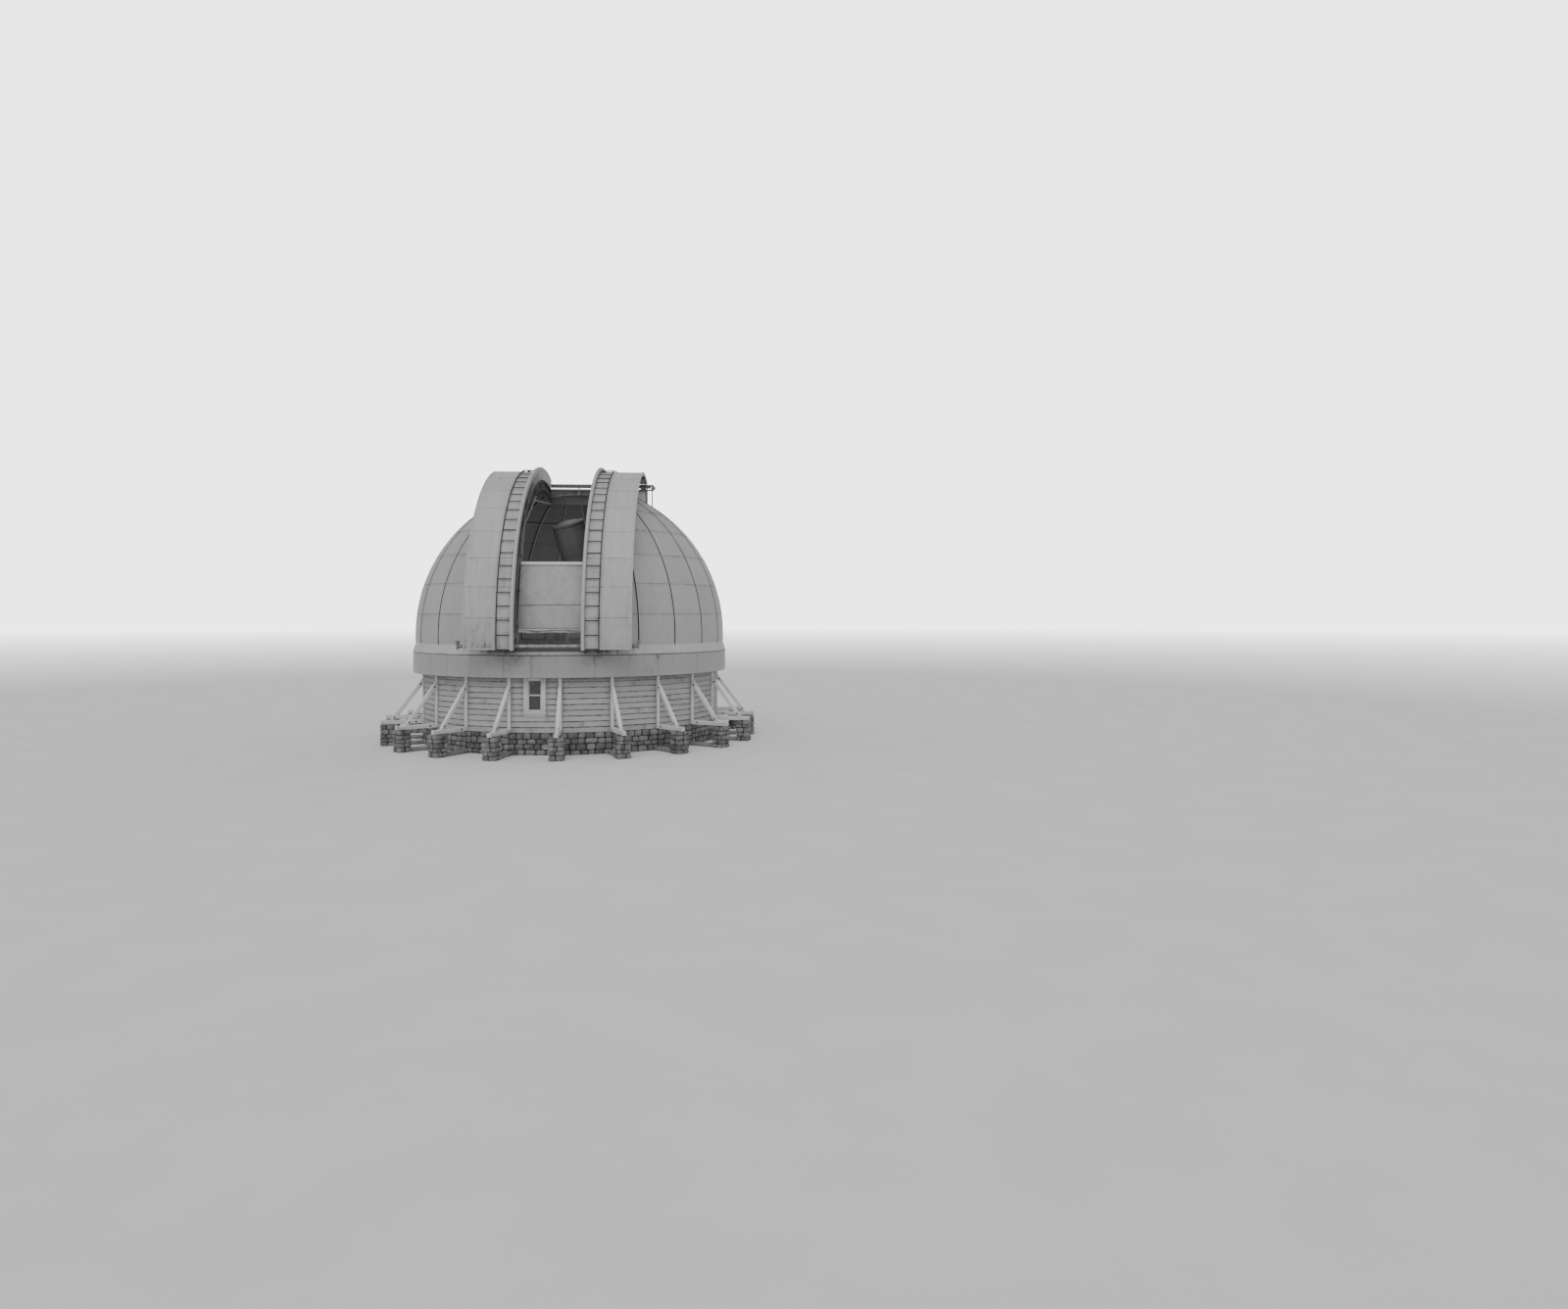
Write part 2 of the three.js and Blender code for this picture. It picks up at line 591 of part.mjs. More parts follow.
function shutterPanel(side) {
  const { outer, radius, thickness, rearAngle } = SHUTTER;
  const under = radius - thickness;
  const innerEdge = SHUTTER.inner + CHEEK.thickness + GAP;
  const face = band(under, radius, shutterStart, rearAngle, spanOn(side, innerEdge, outer));
  const flange = band(
    SHUTTER_FLANGE.radius,
    under + 1,
    shutterStart,
    rearAngle,
    spanOn(side, outer - SHUTTER_FLANGE.thickness, outer),
  );
  const trackGap = (TOP_TRACK.low[1] + TOP_TRACK.high[0]) / 2;
  const wheelRadius = (TOP_TRACK.high[0] - TOP_TRACK.low[1]) / 2 - SEAT;
  const hangerBack = TOP_TRACK.front - 70;
  const carriages = CARRIAGES.flatMap((x) => {
    const span = spanOn(side, x - CARRIAGE_HALF, x + CARRIAGE_HALF);
    const hangerTop = Math.sqrt(under ** 2 - hangerBack ** 2) + 10;
    return [
      block(span, [hangerBack - 50, hangerBack], [rise(TOP_TRACK.low[0]), rise(hangerTop)]),
      barAlongY(wheelRadius, side * x, rise(trackGap), [hangerBack - 5, TOP_TRACK.back - 5]),
      block(span, [-under - 5, -LOW_TRACK.back - 10], [rise(LOW_TRACK.top) + SEAT, rise(LOW_TRACK.top) + 70]),
    ];
  });
  return joined([face, flange.subtract(trackRoom), ...carriages]);
}

function shutterLip(side) {
  const { inner, radius, rearAngle } = SHUTTER;
  const cheek = band(
    CHEEK.radius,
    LIP.radius,
    shutterStart,
    rearAngle,
    spanOn(side, inner, inner + CHEEK.thickness),
  );
  const lip = band(radius + GAP, LIP.radius, shutterStart, rearAngle, spanOn(side, inner, inner + LIP.width));
  return cheek.subtract(trackRoom).add(lip);
}

function shutterLadder(side) {
  const face = SHUTTER.radius + GAP;
  const { rail, railWidth, proud, rung, first, step, rungs } = LADDER;
  const lastAngle = first + (rungs - 1) * step + 1;
  const railBand = band(face, face + proud, shutterStart, lastAngle, spanOn(side, rail - railWidth, rail));
  const bars = Array.from({ length: rungs + 1 }, (_, i) => {
    const span = spanOn(side, SHUTTER.inner + LIP.width + GAP, rail - railWidth / 2);
    const middle = face + proud / 2;
    const angle = first + (i - 1) * step;
    return block(span, [-middle - rung / 2, -middle + rung / 2], [-rung / 2, rung / 2])
      .rotate([-angle, 0, 0])
      .translate([0, 0, CENTRE_Z]);
  });
  return joined([railBand, ...bars]);
}

[
  ["right", 1],
  ["left", -1],
].forEach(([name, side]) => {
  const shutter = new THREE.Group();
  dome.add(shutter);
  add(`shutter_panel_${name}`, shutterPanel(side), sheetPaint, 0, shutter);
  add(`shutter_lip_${name}`, shutterLip(side), trimPaint, 0, shutter);
  add(`shutter_ladder_${name}`, shutterLadder(side), steel, 0, shutter);
});

// The wind screen: a timber frame with canvas on its outer side, gathered along the bottom

const screen = new THREE.Group();
dome.add(screen);

function screenFrame() {
  const { half, inner, outer, bottom, top, middle } = SCREEN;
  const stiles = [-1, 1].map((s) => band(inner, outer, bottom, top, spanOn(s, half - 70, half)));
  const battens = [
    band(inner, outer - 8, bottom, bottom + 1, [-half, half]),
    band(inner, outer - 8, middle - 0.4, middle + 0.4, [-half, half]),
    band(inner, outer + 30, top - 1.2, top, [-half, half]),
  ];
  const runners = RUNNER_ANGLES.flatMap((a) =>
    [-1, 1].map((s) => band(inner, outer, a - 0.4, a + 0.4, spanOn(s, half - 1, SLIT_HALF - SEAT))),
  );
  return joined([...stiles, ...battens, ...runners]);
}
add("screen_frame", screenFrame(), trimPaint, 0, screen);

const canvasFace = SCREEN.outer + GAP;
const canvasSpan = [-SCREEN.half + 4, SCREEN.half - 4];
const canvasSheet = band(canvasFace, canvasFace + CANVAS.thickness, CANVAS.bottom, CANVAS.top, canvasSpan);
const gathersTop = SCREEN.bottom - degrees(GAP / SCREEN.inner);
const gathers = band(canvasFace - 40, canvasFace + 60, 1.15, gathersTop, canvasSpan);
add("screen_canvas", canvasSheet, canvas, 0, screen);
add("screen_canvas_gathers", gathers, canvas, 0, screen);

export default observatory;
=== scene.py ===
# %% [markdown]
# # A small observatory dome
#
# The object is a rotating dome of painted sheet metal on a low round timber wall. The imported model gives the
# solids and how they move. This script dresses them: it starts by loading those solids as a fixed frame, and each
# step below replaces or refines one piece. Lengths are in metres, +Z is up and the slit faces -Y.

# %% Load the frame
import math

import bmesh
import bpy
import numpy as np
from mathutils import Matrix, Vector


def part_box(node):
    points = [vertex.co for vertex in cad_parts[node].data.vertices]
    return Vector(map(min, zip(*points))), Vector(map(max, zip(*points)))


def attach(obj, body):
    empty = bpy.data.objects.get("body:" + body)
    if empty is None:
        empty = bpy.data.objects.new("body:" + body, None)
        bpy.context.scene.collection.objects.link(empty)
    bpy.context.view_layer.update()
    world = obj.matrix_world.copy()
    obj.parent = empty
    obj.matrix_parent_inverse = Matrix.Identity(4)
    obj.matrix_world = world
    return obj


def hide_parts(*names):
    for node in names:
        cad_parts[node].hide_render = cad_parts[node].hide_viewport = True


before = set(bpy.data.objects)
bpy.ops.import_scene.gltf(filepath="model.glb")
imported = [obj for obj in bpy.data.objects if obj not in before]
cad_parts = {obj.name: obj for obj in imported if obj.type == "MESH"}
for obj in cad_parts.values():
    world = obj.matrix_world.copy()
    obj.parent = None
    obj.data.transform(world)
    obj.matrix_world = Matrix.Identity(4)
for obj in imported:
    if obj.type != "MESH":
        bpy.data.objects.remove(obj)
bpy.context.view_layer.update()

# %% [markdown]
# ## The camera
#
# The photograph was taken from about 33 m away, a little to the right of the slit's direction, with the camera
# level. A level camera keeps walls upright, and a small lens shift puts the horizon where it lies in the picture.
# The lens could be set by eye, but the dome's known width and distance give its focal length.

# %% Camera
camera = bpy.data.objects.new("camera", bpy.data.cameras.new("camera"))
bpy.context.scene.collection.objects.link(camera)
camera.location = (4.472, -32.645, 3.8)
camera.rotation_euler = (math.radians(90), 0, math.radians(-3.59))
camera.data.sensor_width = 36
camera.data.lens = 23.97
camera.data.shift_y = -0.02625
camera.data.clip_end = 2000
bpy.context.scene.camera = camera
print("camera at", [round(v, 2) for v in camera.location], "lens", camera.data.lens)

# %% [markdown]
# ## Surfaces from arrays
#
# Almost every piece below is one of three things: a grid of points worked out from two parameters, a profile
# carried along a path, or a set of bevelled blocks. Each is computed as a whole array. A small collector joins
# such parts into one mesh, with a UV map in metres and a tone for each face, so that no two boards are alike.


# %% Grids of faces
def grid_faces(rows, columns, round_rows=False, round_columns=False):
    """Quads of a grid: face (i, j) joins points (i, j), (i, j + 1), (i + 1, j + 1) and (i + 1, j)."""
    i = np.arange(rows if round_rows else rows - 1)
    j = np.arange(columns if round_columns else columns - 1)
    i, j = (a.ravel() for a in np.meshgrid(i, j, indexing="ij"))
    below, beside = (i + 1) % rows, (j + 1) % columns
    return np.stack([i * columns + j, i * columns + beside, below * columns + beside, below * columns + j], -1)


def volume_of(points, faces):
    """Signed volume: the sum over each face's fan of triangles of a . (b x c) / 6."""
    a = points[faces[:, :1]]
    b, c = points[faces[:, 1:-1]], points[faces[:, 2:]]
    return float((a * np.cross(b, c)).sum() / 6)


print("a grid of 3 by 4 points has", len(grid_faces(3, 4)), "faces")


# %% A collector, and placing its mesh
class Parts:
    """Surfaces that become one mesh. A closed part whose faces point inwards is turned round as it is added. The
    tone is one for all faces or one for each in the first group, and the grime and painted shade, one value at each
    point, repeat until they fill the points."""

    def __init__(self):
        self.points, self.faces, self.uvs, self.tones, self.grimes, self.slots = [], [], [], [], [], []
        self.count = 0

    def add(self, points, groups, uvs, tone=0.5, grime=0.0, slots=(0, 0, 0), closed=True):
        points = np.asarray(points, float).reshape(-1, 3)
        if closed and sum(volume_of(points - points.mean(0), f) for f in groups) < 0:
            groups = [f[:, ::-1] for f in groups]
            uvs = [u[:, ::-1] for u in uvs]
        for faces, uv, slot in zip(groups, uvs, slots):
            self.faces.append(faces + self.count)
            self.uvs.append(uv)
            fits = np.ndim(tone) == 0 or len(tone) == len(faces)
            self.tones.append(np.broadcast_to(tone if fits else 0.5, len(faces)))
            self.slots.append(np.full(len(faces), slot))
        self.points.append(points)
        self.grimes.append(np.tile(np.ravel(grime).astype(float), len(points) // np.size(grime)))
        self.count += len(points)
        return self

    def mesh(self, name, smooth_angle=0, merge=0.0):
        data = bpy.data.meshes.new(name)
        points = np.concatenate(self.points).astype(np.float32)
        loops = np.concatenate([f.ravel() for f in self.faces]).astype(np.int32)
        sizes = np.concatenate([np.full(len(f), f.shape[1]) for f in self.faces]).astype(np.int32)
        data.vertices.add(len(points))
        data.vertices.foreach_set("co", points.ravel())
        data.loops.add(len(loops))
        data.loops.foreach_set("vertex_index", loops)
        data.polygons.add(len(sizes))
        data.polygons.foreach_set("loop_start", (np.cumsum(sizes) - sizes).astype(np.int32))
        data.polygons.foreach_set("loop_total", sizes)
        layer = data.uv_layers.new(name="Surface")
        layer.data.foreach_set("uv", np.concatenate([u.ravel() for u in self.uvs]).astype(np.float32))
        # the grime attribute holds real grime and painted shade together
        for kind, of, values in (("tone", "FACE", self.tones), ("grime", "POINT", self.grimes)):
            layer = data.attributes.new(kind, "FLOAT", of)
            layer.data.foreach_set("value", np.concatenate(values).astype(np.float32))
        data.polygons.foreach_set("material_index", np.concatenate(self.slots).astype(np.int32))
        data.update(calc_edges=True)
        if merge:
            shape = bmesh.new()
            shape.from_mesh(data)
            bmesh.ops.remove_doubles(shape, verts=shape.verts, dist=merge)
            shape.to_mesh(data)
            shape.free()
        if smooth_angle:
            data.polygons.foreach_set("use_smooth", np.ones(len(data.polygons), bool))
            data.set_sharp_from_angle(angle=math.radians(smooth_angle))
        return data


def place(parts, name, finishes, body, stands_for=(), smooth_angle=0, merge=0.0):
    """Puts a collected mesh in the scene with its finishes, on the body that carries it."""
    piece = bpy.data.objects.new(name, parts.mesh(name, smooth_angle, merge))
    bpy.context.scene.collection.objects.link(piece)
    for finish in finishes:
        piece.data.materials.append(finish)
    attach(piece, body)
    if stands_for:
        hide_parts(*stands_for)
    print(f"{name}: {len(piece.data.vertices)} points, {len(piece.data.polygons)} faces")
    return piece


# %% Slabs and profiles
X, Y, Z = np.eye(3)


def unit(v):
    """Each vector divided by its length."""
    v = np.asarray(v, float)
    return v / np.linalg.norm(v, axis=-1, keepdims=True)


def slab(front, back, uv):
    """A closed plate between two grids of points: the front, the back turned round, and a rim that joins them."""
    rows, columns = front.shape[:2]
    n = rows * columns
    face = grid_faces(rows, columns)
    index = np.arange(n).reshape(rows, columns)
    rim = np.concatenate([index[0], index[1:, -1], index[-1, -2::-1], index[-2:0:-1, 0]])
    edge = np.stack([rim, np.roll(rim, -1), np.roll(rim, -1) + n, rim + n], -1)
    flat = np.concatenate([uv.reshape(-1, 2)] * 2)
    groups = [face, face[:, ::-1] + n, edge[:, ::-1]]
    return np.concatenate([front.reshape(-1, 3), back.reshape(-1, 3)]), groups, [flat[g] for g in groups]


def circle(around, radius=1.0):
    """Points round a circle: radius * (cos t, sin t), with t in equal steps."""
    t = np.linspace(0, 2 * np.pi, around, endpoint=False)
    return radius * np.stack([np.cos(t), np.sin(t)], -1)


def mm(*points):
    """The points of a profile, from millimetres to metres."""
    return np.array(points) * 0.001


def rect(x0, x1, y0, y1):
    """The profile of a flat bar."""
    return np.array([(x0, y0), (x1, y0), (x1, y1), (x0, y1)])


def mirrored(profile):
    """A profile followed by its mirror image in x = 0."""
    return np.concatenate([profile, np.array(profile[::-1]) * [-1, 1]])


def travelled(points):
    """How far along a path each of its points lies: the sum of |p_(i + 1) - p_i|."""
    return np.append(0, np.cumsum(np.linalg.norm(np.diff(points, axis=0), axis=-1)))


print("from the first to the last of 32 points round a circle:", round(travelled(circle(32))[-1], 3))


# %% Carried profiles
def tube_faces(rows, around):
    """The side of a tube of points, and its two ends."""
    ends = np.stack([np.arange(around)[::-1], np.arange(around) + (rows - 1) * around])
    return [grid_faces(rows, around, round_columns=True), ends]


def quad_uv(u, v):
    """The UVs of a grid's quads, from a value for each row and one for each column."""
    i, k = (a.ravel() for a in np.meshgrid(np.arange(len(u) - 1), np.arange(len(v) - 1), indexing="ij"))
    return np.stack([np.stack([u[i + a], v[k + b]], -1) for a, b in ((0, 0), (0, 1), (1, 1), (1, 0))], 1)


def carried(profile, path, right, out, uv_start=(0.0, 0.0)):
    """A profile carried along a path: point (i, k) = path_i + x_k * right_i + y_k * out_i, with both ends closed."""
    profile, path = np.asarray(profile, float), np.asarray(path, float)
    right, out = np.broadcast_to(right, path.shape), np.broadcast_to(out, path.shape)
    points = path[:, None] + profile[None, :, :1] * right[:, None] + profile[None, :, 1:] * out[:, None]
    along = travelled(path) + uv_start[0]
    girth = travelled(np.concatenate([profile, profile[:1]])) + uv_start[1]
    end_uv = np.stack([profile[::-1], profile]) + np.asarray(uv_start)
    return points, tube_faces(len(path), len(profile)), [quad_uv(along, girth), end_uv]


print("a square bar carried past three points has", sum(map(len, tube_faces(3, 4))), "faces")


# %% Bevelled blocks
def block_pattern():
    """The faces of a bevelled block. Corner s has a point for each axis a, pulled in from the edges on the others."""
    signs = np.array([[x, y, z] for x in (-1, 1) for y in (-1, 1) for z in (-1, 1)])
    corners = np.arange(24).reshape(8, 3)
    quads, step = [], (4, 2, 1)
    for a in range(3):
        b, c = (a + 1) % 3, (a + 2) % 3
        for s in (0, step[a]):
            ring = [s + n * step[b] + m * step[c] for n, m in ((0, 0), (1, 0), (1, 1), (0, 1))]
            quads.append(corners[ring, a])
            for n in (s, s + step[b]):
                low, high = corners[n], corners[n + step[c]]
                quads.append([low[a], high[a], high[b], low[b]])
    spot = signs[np.arange(24) // 3] * np.where(np.arange(24)[:, None] % 3 == np.arange(3), 1.0, 0.8)

    def facing_out(faces):
        faces = np.array(faces)
        normal = np.cross(spot[faces[:, 1]] - spot[faces[:, 0]], spot[faces[:, 2]] - spot[faces[:, 1]])
        inside = (normal * spot[faces].mean(1)).sum(-1) < 0
        faces[inside] = faces[inside][:, ::-1]
        return faces

    return signs, facing_out(quads), facing_out(corners)


BLOCK_SIGNS, BLOCK_QUADS, BLOCK_CORNERS = block_pattern()


def blocks(centres, halves, bevel, axes=np.eye(3), seed=0):
    """Bevelled blocks: point = centre + s * (half - bevel off its own axis), turned by the block's three axes.
    The UV runs along each block's longest side, and starts at a place of its own."""
    centres = np.atleast_2d(np.asarray(centres, float))
    n = len(centres)
    halves = np.broadcast_to(np.asarray(halves, float), (n, 3))
    axes = np.broadcast_to(np.asarray(axes, float), (n, 3, 3))
    own = np.arange(24)[:, None] % 3 == np.arange(3)
    local = BLOCK_SIGNS[np.arange(24) // 3] * (halves[:, None] - np.where(own, 0, bevel))
    points = centres[:, None] + np.einsum("nka,nab->nkb", local, axes)
    start = np.random.default_rng(seed).uniform(0, 9, (n, 1, 2))
    order = np.argsort(-halves, axis=1)
    groups, uvs = [], []
    for pattern in (BLOCK_QUADS, BLOCK_CORNERS):
        spread = local[:, pattern]
        longest = np.take_along_axis(spread, order[:, None, None, :1], -1)[..., 0]
        rest = np.take_along_axis(spread, order[:, None, None, 1:], -1)
        uvs.append((np.stack([longest, rest.sum(-1)], -1) + start[:, None]).reshape(-1, pattern.shape[1], 2))
        groups.append((pattern[None] + 24 * np.arange(n)[:, None, None]).reshape(-1, pattern.shape[1]))
    return points, groups, uvs


print("a bevelled block has", len(BLOCK_QUADS) + len(BLOCK_CORNERS), "faces")

# %% [markdown]
# Nothing on the real object is quite flat or straight. Blender has its own noise, but the points are worked out in
# arrays, so the noise is too: random values on a lattice, blended smoothly between its corners.


# %% Smooth noise
def noise(points, size, seed=0):
    """Smooth noise from -1 to 1: random values at the corners of cells of the given size, blended between them."""
    p = np.asarray(points, float) / size
    cell = np.floor(p).astype(np.int64)
    f = p - cell
    f = f * f * (3 - 2 * f)
    total = np.zeros(p.shape[:-1])
    for dx in (0, 1):
        for dy in (0, 1):
            for dz in (0, 1):
                h = (cell[..., 0] + dx) * 374761393 + (cell[..., 1] + dy) * 668265263
                h = (h + (cell[..., 2] + dz) * 2147483647 + seed * 974634777) & 0xFFFFFFFF
                h = ((h ^ (h >> 13)) * 1274126177) & 0xFFFFFFFF
                value = ((h ^ (h >> 16)) & 0xFFFF) / 32767.5 - 1
                weight = np.where(dx, f[..., 0], 1 - f[..., 0]) * np.where(dy, f[..., 1], 1 - f[..., 1])
                total += value * weight * np.where(dz, f[..., 2], 1 - f[..., 2])
    return total


def swell(points, size, seed=0):
    """The same noise, from 0 to 1."""
    return 0.5 + 0.5 * noise(points, size, seed)


def hump(a, middle, wide):
    """A smooth hump, 1 at its middle: exp(-((a - middle) / wide)^2)."""
    return np.exp(-(((a - middle) / wide) ** 2))


print("noise at three places:", noise(np.eye(3) * 0.7, 1.0).round(2))


# %% Places round the dome
def on_plan(radius, azimuth, z):
    """The point at a radius and an azimuth in degrees from -Y towards +X: (r sin a, -r cos a, z)."""
    a = np.radians(azimuth)
    return np.stack(np.broadcast_arrays(radius * np.sin(a), -radius * np.cos(a), z), -1)


def plan_axes(azimuth):
    """Across (the way that azimuths grow), outwards and up at an azimuth."""
    a = np.radians(azimuth)
    nought = np.zeros_like(a)
    across = np.stack([np.cos(a), np.sin(a), nought], -1)
    outward = np.stack([np.sin(a), -np.cos(a), nought], -1)
    return across, outward, np.broadcast_to(Z, outward.shape)


print("the slit faces", plan_axes(0.0)[1])

# %% [markdown]
# ## Finishes
#
# The paint on the real dome is a chalky grey that rain has streaked and dust has darkened along the seams. Each
# finish is made of shader nodes: broad patches, streaks along the way that water runs or timber grows, fine specks,
# a tone for each sheet, board or stone, and a value stored at the points: grime near a seam, and painted shade in
# laps, creases and corners and where shadows fall. They are added up to one shade, and a colour ramp turns the
# shade into paint. Image textures could do it too, but nodes stay sharp at any distance.


# %% A finish made of nodes
class Finish:
    """A surface finish. Its patterns are sockets from about 0 to 1, and a weight says how much each one counts."""

    def __init__(self, name, roughness=0.6, metallic=0.0, specular=0.5, **sockets):
        self.material = bpy.data.materials.new(name)
        self.material.use_nodes = True
        self.tree = self.material.node_tree
        self.shader = self.tree.nodes["Principled BSDF"]
        self.set(self.shader, {"Roughness": roughness, "Metallic": metallic, "Specular IOR Level": specular})
        self.set(self.shader, {key.replace("_", " "): value for key, value in sockets.items()})
        self.normal = None

    def set(self, node, inputs):
        for key, value in inputs.items():
            if isinstance(value, bpy.types.NodeSocket):
                self.tree.links.new(value, node.inputs[key])
            else:
                node.inputs[key].default_value = value
        return node

    def node(self, kind, inputs, **settings):
        node = self.tree.nodes.new("ShaderNode" + kind)
        for key, value in settings.items():
            setattr(node, key, value)
        return self.set(node, inputs)

    def where(self, kind="UV", scale=(1, 1, 1)):
        """Places on the surface: its UV in metres, or the object's own coordinates, times a scale."""
        spot = self.node("TexCoord", {}).outputs[kind]
        return self.node("Mapping", {"Vector": spot, "Scale": scale}).outputs[0]

    def noise(self, where, scale, detail=3.0, low=0.3, high=0.7, distortion=0.0):
        """Noise, spread so that the share between low and high fills 0 to 1."""
        inputs = {"Vector": where, "Scale": scale, "Detail": detail, "Roughness": 0.55, "Distortion": distortion}
        return self.spread(self.node("TexNoise", inputs).outputs[0], low, high)

    def drawn(self, along, across, *settings):
        """Noise on the UV with so many cells to the metre each way, so that it is drawn out into streaks."""
        return self.noise(self.where("UV", (along, across, 1)), 1.0, *settings)

    def cells(self, where, scale, low, high):
        """Distance to the nearest of scattered points."""
        node = self.node("TexVoronoi", {"Vector": where, "Scale": scale})
        return self.spread(node.outputs["Distance"], low, high)

    def spread(self, value, low, high, to_low=0.0, to_high=1.0):
        """to_low + (to_high - to_low) * (value - low) / (high - low), held inside the new span."""
        inputs = {"Value": value, "From Min": low, "From Max": high, "To Min": to_low, "To Max": to_high}
        return self.node("MapRange", inputs).outputs[0]

    def stored(self, name):
        """A value stored in the mesh, such as a board's tone, or the grime and painted shade at a point."""
        return self.node("Attribute", {}, attribute_name=name).outputs["Fac"]

    def product(self, a, b):
        return self.node("Math", {0: a, 1: b}, operation="MULTIPLY").outputs[0]

    def plus(self, shade, pattern, weight):
        """shade + weight * pattern."""
        return self.node("Math", {0: pattern, 1: weight, 2: shade}, operation="MULTIPLY_ADD").outputs[0]

    def shade(self, level, *weighted):
        """level + the sum of weight * (pattern - 0.5)."""
        total = level - sum(weight / 2 for _, weight in weighted)
        for pattern, weight in weighted:
            total = self.plus(total, pattern, weight)
        return total

    def paint(self, shade, *stops):
        """Turns the shade into colour: each stop is a place on the ramp and a grey, or a place and a colour."""
        ramp = self.tree.nodes.new("ShaderNodeValToRGB")
        self.set(ramp, {"Fac": shade})
        for n, (at, colour) in enumerate(stops):
            mark = ramp.color_ramp.elements[n] if n < 2 else ramp.color_ramp.elements.new(at)
            mark.position = at
            colour = colour if isinstance(colour, tuple) else (colour, colour * 0.993, colour * 0.975)
            mark.color = (*colour, 1)
        self.set(self.shader, {"Base Color": ramp.outputs[0]})

    def gloss(self, pattern, low, high):
        self.set(self.shader, {"Roughness": self.spread(pattern, 0, 1, low, high)})

    def relief(self, *heights):
        """Fine relief in the surface: each pattern raises it by up to a distance in metres."""
        for pattern, distance in heights:
            inputs = {"Height": pattern, "Distance": distance, "Strength": 1.0}
            if self.normal:
                inputs["Normal"] = self.normal
            self.normal = self.node("Bump", inputs).outputs[0]
        self.set(self.shader, {"Normal": self.normal})


# %% Painted sheet metal
def sheet_finish(
    name, low, middle, high, streaks=0.3, dents=0.002, roughness=(0.42, 0.62), blotches=0.16, broken=(0.1, 0.58)
):
    """Chalky paint on sheet metal. The UV's second direction is the way that rain runs."""
    f = Finish(name, specular=0.35)
    surface = f.where("UV")
    patches = f.noise(surface, 0.9, 4)
    runs = f.drawn(9, 0.55, 5, 0.35, 0.72)
    fine_runs = f.drawn(38, 1.3, 3, 0.3, 0.75)
    specks = f.noise(surface, 70, 2, 0.62, 0.74)
    blots = f.noise(surface, 5.5, 5, 0.56, 0.78, 0.4)
    # the stored grime and painted shade, broken up by streaky noise; a broken span of (-1.0, 0.6) leaves the noise
    # nearly even, so that the painted shade stays smooth
    smears_and_shade = f.product(f.stored("grime"), f.drawn(7, 3, 4, *broken))
    tone = (f.stored("tone"), 0.34)
    marks = (runs, -streaks), (fine_runs, -0.5 * streaks), (blots, -blotches), (specks, -0.12)
    shade = f.shade(0.56, (patches, 0.26), tone, *marks)
    shade = f.plus(shade, smears_and_shade, -0.62)
    f.paint(shade, (0.0, low * 0.22), (1.0, high), (0.3, low), (0.6, middle))
    f.gloss(patches, *roughness)
    f.relief((f.noise(surface, 2.2, 2), dents), (f.noise(surface, 11, 3), dents * 0.22))
    return f.material


DOME_PAINT = sheet_finish("dome_paint", 0.25, 0.325, 0.39, 0.2)
SHUTTER_PAINT = sheet_finish("shutter_paint", 0.28, 0.365, 0.44, 0.24, blotches=0.24)
SKIRT_PAINT = sheet_finish("skirt_paint", 0.2, 0.275, 0.35, 0.09, 0.003, blotches=0.3)
# the flashing's broken span of (-1.0, 0.6) keeps its painted shade smooth
FLASHING_PAINT = sheet_finish("flashing_paint", 0.31, 0.4, 0.47, 0.2, 0.002, broken=(-1.0, 0.6))
LIP_PAINT = sheet_finish("lip_paint", 0.25, 0.35, 0.43, 0.24, 0.001)
INNER_PAINT = sheet_finish("inner_paint", 0.15, 0.19, 0.23, 0.2)
UNDER_PAINT = sheet_finish("under_paint", 0.3, 0.38, 0.45, 0.2)
# the cheek's paint runs from near black to pale, so that painted shade can darken its lower part
CHEEK_PAINT = sheet_finish("cheek_paint", 0.08, 0.42, 0.72, 0.16, 0.001)
print("materials with the metal paints:", len(bpy.data.materials))


# %% Painted and bare timber
def timber_finish(name, low, middle, high, wear=0.3, grain=0.0012, roughness=(0.5, 0.75)):
    """Oil paint or weather on sawn timber. The UV's first direction is the way that the grain runs."""
    f = Finish(name, specular=0.3)
    fibres = f.drawn(2.6, 95, 4, 0.3, 0.72)
    bands = f.drawn(0.8, 17, 3)
    patches = f.drawn(1.6, 3.2, 5)
    checks = f.drawn(3.2, 150, 2, 0.64, 0.74)
    worn = f.drawn(5, 16, 5, 0.6, 0.68, 0.5)
    # the stored grime and painted shade, such as the painted shade under each weatherboard's lap
    dirt_and_shade = f.product(f.stored("grime"), f.drawn(6, 12, 4, 0.15, 0.6))
    tone = (f.stored("tone"), 0.34)
    shade = f.shade(0.6, (patches, 0.28), tone, (fibres, -0.14), (bands, 0.12), (checks, -0.3), (worn, -wear))
    shade = f.plus(shade, dirt_and_shade, -0.6)
    f.paint(shade, (0.0, low * 0.4), (1.0, high), (0.28, low), (0.62, middle))
    f.gloss(patches, *roughness)
    f.relief((fibres, -grain), (checks, -2 * grain), (worn, -0.5 * grain))
    return f.material


WALL_PAINT = timber_finish("weatherboard_paint", 0.25, 0.34, 0.42, 0.22)
BRACE_PAINT = timber_finish("brace_paint", 0.4, 0.58, 0.7, 0.22, 0.0016)
TRIM_PAINT = timber_finish("trim_paint", 0.36, 0.49, 0.6, 0.16, 0.0008)
FLOOR_TIMBER = timber_finish("floor_timber", 0.11, 0.17, 0.23, 0.34)
JAMB_PAINT = timber_finish("jamb_paint", 0.045, 0.075, 0.12, 0.3)
print("materials with the painted timbers:", len(bpy.data.materials))


